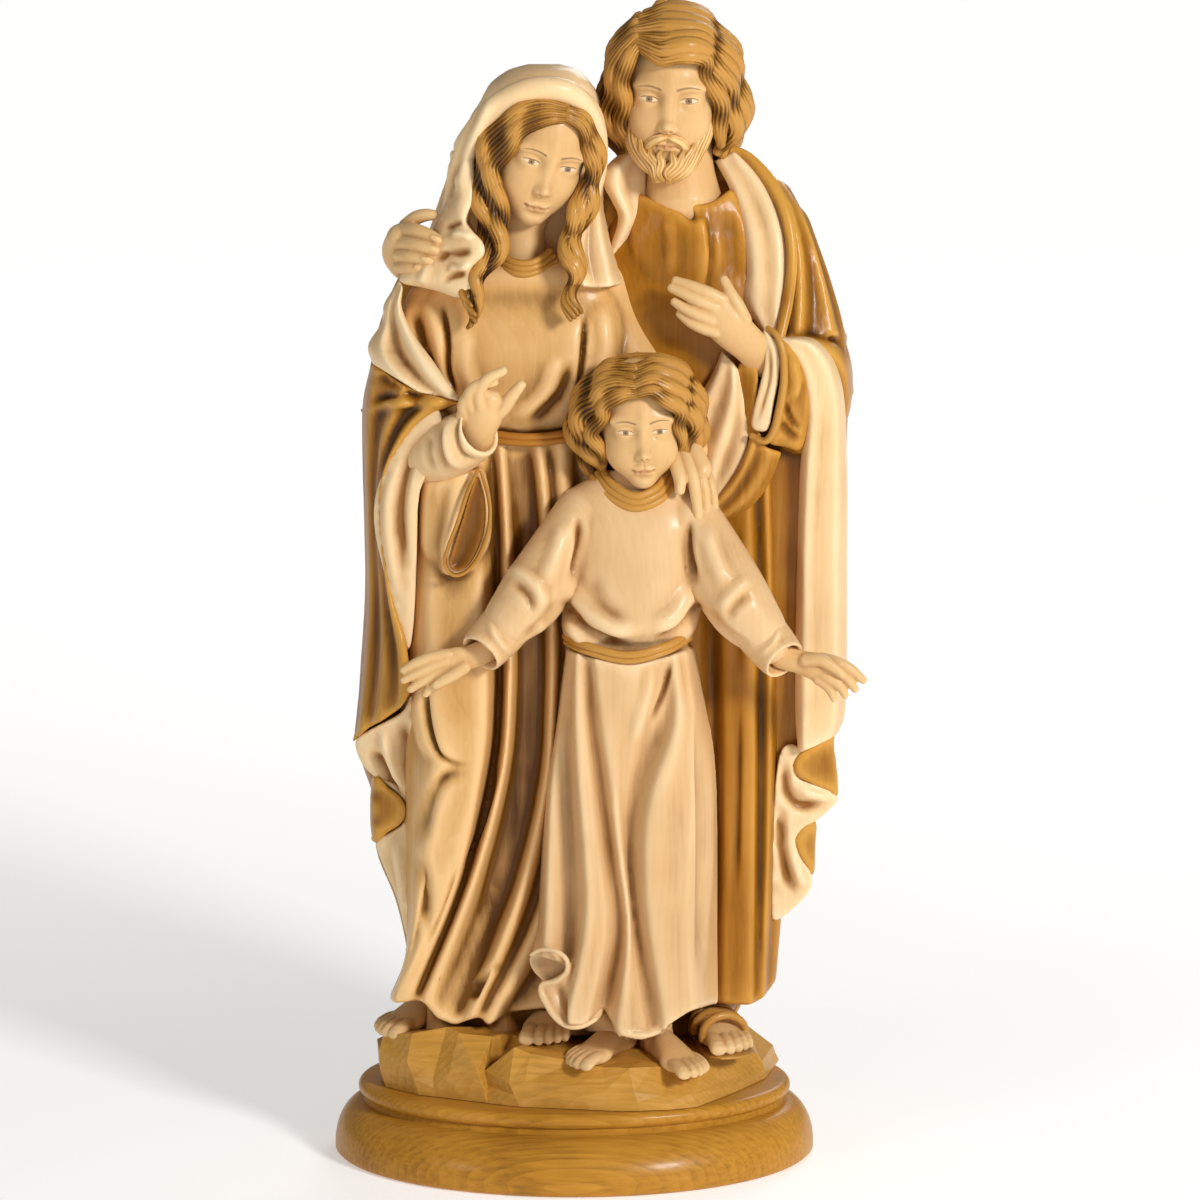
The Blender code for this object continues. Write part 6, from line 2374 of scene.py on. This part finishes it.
def child_head():
    face = Head(*CHILD_HEAD)
    face.build("child_face")
    neck = tube("neck", [(640, 456, 68, 22), (640, 474, 70, 21), (640, 496, 72, 30)], around=32)
    finish(remeshed(neck, SKIN_GRAIN, 2), "child_neck", SKIN)
    cap = face.locks("cap", [[(0, 0.10, 0.60, 0.36), (0, 0.12, 0.66, 0.36)]] * 2, 1, flutes=0, groove=0)
    right = strands(
        "right",
        [
            [
                (637, 394, 134, 4),
                (652, 391, 138, 5),
                (668, 400, 133, 6),
                (679, 412, 123, 6),
                (682, 430, 113, 5),
                (678, 448, 106, 3),
            ],
            [
                (636, 383, 127, 4),
                (656, 378, 128, 6),
                (678, 390, 116, 6),
                (691, 408, 100, 7),
                (695, 430, 88, 6),
                (688, 452, 84, 3),
            ],
            [
                (636, 371, 112, 4),
                (660, 366, 110, 6),
                (684, 380, 94, 7),
                (696, 404, 78, 7),
                (698, 430, 68, 7),
                (688, 460, 64, 4),
            ],
            [
                (640, 362, 90, 5),
                (664, 361, 82, 6),
                (687, 378, 66, 7),
                (697, 404, 54, 7),
                (698, 432, 46, 7),
                (686, 464, 42, 4),
            ],
        ],
        5,
        wave=2.8,
        length=40,
        around=60,
        flutes=13,
        groove=0.05,
        swell=1.45,
    )
    left = strands(
        "left",
        [
            [
                (634, 394, 134, 4),
                (621, 395, 135, 6),
                (607, 405, 128, 6),
                (598, 419, 117, 6),
                (594, 434, 108, 6),
                (599, 450, 102, 5),
                (605, 464, 96, 3),
            ],
            [
                (633, 384, 127, 4),
                (611, 384, 121, 6),
                (592, 398, 110, 7),
                (581, 413, 98, 8),
                (577, 428, 90, 8),
                (588, 452, 84, 6),
                (598, 470, 80, 3),
            ],
            [
                (634, 372, 113, 4),
                (608, 374, 104, 6),
                (588, 391, 92, 7),
                (578, 413, 80, 8),
                (578, 436, 74, 8),
                (588, 460, 68, 6),
                (598, 478, 64, 3),
            ],
            [
                (637, 363, 90, 5),
                (608, 367, 82, 6),
                (588, 388, 68, 7),
                (580, 413, 58, 8),
                (582, 438, 52, 7),
                (590, 464, 48, 6),
                (602, 482, 46, 3),
            ],
        ],
        5,
        wave=3.0,
        length=40,
        around=60,
        flutes=13,
        groove=0.05,
        swell=1.45,
    )
    back = strands(
        "back",
        [
            [(634, 362, 74, 6), (606, 380, 50, 8), (594, 410, 36, 8), (596, 444, 30, 8), (606, 476, 34, 5)],
            [(638, 360, 70, 6), (624, 376, 36, 8), (618, 408, 18, 8), (618, 444, 14, 8), (622, 480, 22, 5)],
            [(642, 360, 70, 6), (644, 374, 32, 8), (644, 408, 12, 8), (644, 444, 8, 8), (644, 482, 18, 5)],
            [(646, 362, 72, 6), (664, 378, 38, 8), (668, 410, 18, 8), (668, 444, 16, 8), (664, 478, 26, 5)],
            [(648, 364, 74, 6), (678, 382, 50, 8), (688, 412, 34, 8), (686, 446, 30, 8), (676, 474, 36, 5)],
        ],
        6,
        wave=2.0,
        length=50,
        around=56,
        flutes=12,
        groove=0.05,
        swell=1.35,
    )
    # The high gain paints highlights on the locks and shade in the grooves between them.
    finish(joined("hair", [*cap, *right, *left, *back]), "child_hair", HAIR, reach=6, gain=1.9, keep=0.45)


def child_hands():
    parts = [
        tube("palm", [(488, 650, 108, 13), (470, 657, 112, 12), (456, 661, 114, 14), (444, 664, 115, 13)], flat=0.6, around=28),
        *tubes(
            "finger",
            [
                [(448, 655, 117, 6.6), (433, 657, 119, 6.2), (417, 663, 120, 5.6), (404, 670, 119, 4.2)],
                [(446, 661, 118, 6.4), (432, 666, 120, 6), (417, 673, 121, 5.4), (404, 680, 120, 4)],
                [(446, 668, 117, 6.2), (434, 674, 119, 5.8), (422, 681, 120, 5.2), (411, 689, 119, 4)],
                [(448, 673, 115, 5.8), (439, 680, 117, 5.4), (432, 686, 118, 4.8), (426, 694, 117, 3.6)],
                [(464, 667, 118, 7), (453, 675, 122, 6.4), (444, 680, 124, 5.8), (436, 685, 124, 4.6)],
            ],
            around=14,
        ),
        nail("nail", 437, 683, 127, 150, 2.6),
    ]
    skin_piece("child_right_hand", parts)
    parts = [
        tube("palm", [(782, 656, 110, 13), (800, 662, 113, 12), (814, 666, 116, 14), (824, 668, 117, 13)], flat=0.6, around=28),
        *tubes(
            "finger",
            [
                [(822, 659, 118, 6.6), (836, 662, 121, 6.2), (850, 669, 122, 5.6), (863, 680, 121, 4.2)],
                [(824, 667, 119, 6.4), (837, 671, 122, 6), (848, 679, 123, 5.4), (855, 689, 122, 4)],
                [(822, 674, 118, 6.2), (832, 680, 121, 5.8), (841, 687, 122, 5.2), (845, 695, 121, 4)],
                [(818, 679, 117, 5.8), (826, 685, 119, 5.4), (831, 691, 120, 4.8), (834, 699, 119, 3.6)],
                [(806, 660, 120, 7), (820, 660, 125, 6.4), (832, 666, 127, 5.8), (842, 674, 127, 4.6)],
            ],
            around=14,
        ),
    ]
    skin_piece("child_left_hand", parts)


def child_feet():
    Foot((573, 1071, 132), -32, 108, 1).build("child_right_foot")
    Foot((698, 1080, 133), 26, 112, -1).build("child_left_foot")


# The ground and the plinth


def oval(width, depth, height, around=160):
    turn = np.linspace(0, 2 * math.pi, around, endpoint=False)
    ring = np.empty((around, 3))
    ring[:, 0] = width / 2 * np.cos(turn)
    ring[:, 1] = depth / 2 * np.sin(turn)
    ring[:, 2] = height
    return ring


def level_with(spots, height):
    """World points seen at the drawn (x, y) spots on a level plane of that height."""
    spots = np.asarray(spots, float)
    ray = EYE_FORWARD + (spots[:, :1] - SHEET / 2) / FOCAL * EYE_RIGHT
    ray = ray + (SHEET / 2 - spots[:, 1:]) / FOCAL * EYE_UP
    return EYE + (height - EYE[2]) / ray[:, 2:] * ray


def ground():
    """Rock hewn in flat facets, the front edges where the photograph shows them."""
    floor = group_low[2]
    brow = floor + 0.0138
    rim = [
        ((377, 1039), (382, 1080)),
        ((379, 1050), (386, 1087)),
        ((407, 1062), (419, 1095)),
        ((433, 1078), (437, 1097)),
        ((449, 1073), (462, 1100)),
        ((477, 1071), (487, 1103)),
        ((484, 1068), (493, 1104)),
        ((509, 1083), (520, 1107)),
        ((525, 1082), (546, 1108)),
        ((578, 1086), (590, 1110)),
        ((606, 1090), (612, 1111)),
        ((634, 1092), (640, 1111)),
        ((662, 1096), (668, 1110)),
        ((692, 1094), (697, 1107)),
        ((728, 1079), (736, 1092)),
        ((762, 1061), (766, 1078)),
        ((773, 1045), (779, 1060)),
    ]
    foot = level_with([pair[1] for pair in rim], floor)
    set_back = 5
    top = place([(*pair[0], -spot[1] / UNIT - set_back) for pair, spot in zip(rim, foot)])
    turns = np.linspace(math.radians(6), math.radians(174), 15)
    broken = 1 + 0.05 * np.sin(np.arange(15) * 2.7)
    behind = np.stack((0.0985 * np.cos(turns), 0.066 * np.sin(turns)), axis=1) * broken[:, None]
    top[6] += (0.0, 0.006, -0.003)
    foot = np.vstack((foot, np.column_stack((behind, np.full(15, floor)))))
    rise = brow + 0.0022 * np.sin(np.arange(15) * 1.9)
    top = np.vstack((top, np.column_stack((behind * 0.95, rise))))
    count = len(top)
    waist = (top + foot) / 2
    waist[6] += (0.0, 0.004, 0.0)
    waist[:, :2] *= (1.005 + 0.01 * np.sin(np.arange(count) * 2.3))[:, None]
    stands = place(
        [
            (378, 1035, 10),
            (382, 1037, 50),
            (404, 1033, 40),
            (430, 1030, 84),
            (458, 1030, 82),
            (500, 1036, 78),
            (540, 1048, 96),
            (575, 1071, 130),
            (630, 1062, 100),
            (698, 1080, 132),
            (734, 1060, 82),
            (770, 1050, 50),
        ]
    )
    stands = np.vstack((stands, [(x, 0.03, floor + 0.020) for x in (-0.08, -0.03, 0.03, 0.08)]))
    layers = []
    for share, sway in ((0.88, 0.05), (0.72, 0.05), (0.45, 0.03)):
        layer = top.copy()
        pull = share + sway * np.sin(np.arange(count) * 1.7 + share * 9)
        if share > 0.8:
            pull[:3] = 0.97
        layer[:, :2] *= pull[:, None]
        gap = np.linalg.norm(layer[:, None, :2] - stands[None, :, :2], axis=2)
        weight = 1 / (gap**3 + 1e-7)
        layer[:, 2] = (weight * stands[:, 2]).sum(1) / weight.sum(1)
        layer[:, 2] += 0.0011 * np.sin(np.arange(count) * 2.9 + share * 7)
        layers.append(layer)
    inner, middle, core = layers
    crack = 6
    inner[crack] = top[crack] * (0.86, 0.80, 1.0) - (0.004, 0, 0.006)
    rings = np.array((foot, waist, top, inner, middle, core))
    thing = loft("ground", rings)
    bpy.ops.object.select_all(action="DESELECT")
    thing.select_set(True)
    bpy.context.view_layer.objects.active = thing
    shape = bmesh.new()
    shape.from_mesh(thing.data)
    bmesh.ops.triangulate(shape, faces=shape.faces)
    shape.to_mesh(thing.data)
    shape.free()
    edge = thing.modifiers.new("worn_edges", "BEVEL")
    edge.width = 0.0005
    edge.segments = 2
    edge.limit_method = "ANGLE"
    edge.angle_limit = math.radians(9)
    bpy.ops.object.modifier_apply(modifier="worn_edges")
    finish(thing, "rocky_ground", ROCK, reach=2, gain=0.0)
    thing.data.polygons.foreach_set("use_smooth", np.zeros(len(thing.data.polygons), bool))


def plinth():
    """The turned oval plinth, worked out from the frame's own plinth."""
    foot_width = plinth_high[0] - plinth_low[0]
    foot_depth = plinth_high[1] - plinth_low[1]
    top = plinth_high[2]
    bead_height = 0.008
    groove = 0.003
    bead_width = 0.2277
    bead_depth = 0.162
    neck_width = bead_width - 2 * groove
    neck_depth = bead_depth - 2 * groove
    groove_low = top - bead_height - groove
    profile = [(foot_width / 2 - 0.0015, foot_depth / 2 - 0.0015, 0.0), (foot_width / 2, foot_depth / 2, 0.0015)]
    steps = 22
    for i in range(steps + 1):
        bend = math.radians(90 * i / steps)
        half_width = neck_width / 2 + (foot_width - neck_width) / 2 * math.cos(bend)
        half_depth = neck_depth / 2 + (foot_depth - neck_depth) / 2 * math.cos(bend)
        profile.append((half_width, half_depth, 0.004 + (groove_low - 0.004) * math.sin(bend)))
    profile.append((neck_width / 2, neck_depth / 2, groove_low + groove))
    bead = bead_height / 2
    for i in range(steps + 1):
        bend = math.radians(-80 + 170 * i / steps)
        out = bead * math.cos(bend) - bead
        profile.append((bead_width / 2 + out, bead_depth / 2 + out, top - bead + bead * math.sin(bend)))
    for share in (0.97, 0.9, 0.6, 0.3):
        profile.append(((bead_width / 2 - bead) * share, (bead_depth / 2 - bead) * share, top))
    rings = [oval(2 * w, 2 * d, h) for w, d, h in profile]
    finish(loft("plinth_turned", np.array(rings)), "plinth_turned", PLINTH, reach=2, gain=0.0)


mother_mantle()
mother_linings()
mother_veil()
mother_dress()
mother_sleeve_trim()
mother_head()
mother_hands()
mother_feet()
father_cloak()
father_robe()
father_linings()
father_sleeve()
father_head()
father_hands()
father_foot()
child_robe()
child_trim()
child_head()
child_hands()
child_feet()
ground()
plinth()


# The studio


def studio():
    scene = bpy.context.scene
    scene.view_settings.view_transform = "Standard"
    world = bpy.data.worlds.new("studio_world")
    world.use_nodes = True
    background = world.node_tree.nodes["Background"]
    background.inputs["Color"].default_value = (1.0, 1.0, 1.0, 1.0)
    background.inputs["Strength"].default_value = 0.22
    scene.world = world
    bpy.ops.mesh.primitive_plane_add(size=120, location=(0, 0, -0.0005))
    floor = bpy.context.object
    floor.name = "studio_floor"
    pale = bpy.data.materials.new("pale_floor")
    pale.use_nodes = True
    pale.node_tree.nodes["Principled BSDF"].inputs["Base Color"].default_value = linear("F4F2EE")
    pale.node_tree.nodes["Principled BSDF"].inputs["Roughness"].default_value = 0.8
    pale.node_tree.nodes["Principled BSDF"].inputs["Emission Color"].default_value = linear("FFFFFF")
    ground_place = add_node(pale.node_tree, "ShaderNodeTexCoord").outputs["Object"]
    away = add_node(pale.node_tree, "ShaderNodeVectorMath", {"operation": "LENGTH"}, _0=ground_place)
    glow = add_node(
        pale.node_tree,
        "ShaderNodeMapRange",
        Value=away.outputs["Value"],
        From_Min=0.3,
        From_Max=3.0,
        To_Min=0.38,
        To_Max=0.8,
    )
    pale.node_tree.links.new(
        glow.outputs["Result"], pale.node_tree.nodes["Principled BSDF"].inputs["Emission Strength"]
    )
    floor.data.materials.append(pale)
    lamps = [
        ("key_lamp", (1.5, -1.9, 1.3), 49, 0.45),
        ("fill_lamp", (-1.7, -1.7, 0.9), 5, 0.5),
        ("back_lamp", (0.6, 1.9, 1.4), 10, 0.9),
    ]
    for name, spot, power, size in lamps:
        light = bpy.data.lights.new(name, "AREA")
        light.energy = power
        light.size = size
        lamp = bpy.data.objects.new(name, light)
        scene.collection.objects.link(lamp)
        lamp.location = spot
        lamp.rotation_euler = (Vector((0, 0, 0.32)) - Vector(spot)).to_track_quat("-Z", "Y").to_euler()
    lens = bpy.data.cameras.new("photo_lens")
    lens.sensor_width = 36
    lens.lens = 36 * FOCAL / SHEET
    camera = bpy.data.objects.new("photo_camera", lens)
    scene.collection.objects.link(camera)
    camera.location = tuple(EYE)
    camera.rotation_euler = (math.pi / 2 - TILT, 0, 0)
    scene.camera = camera


studio()
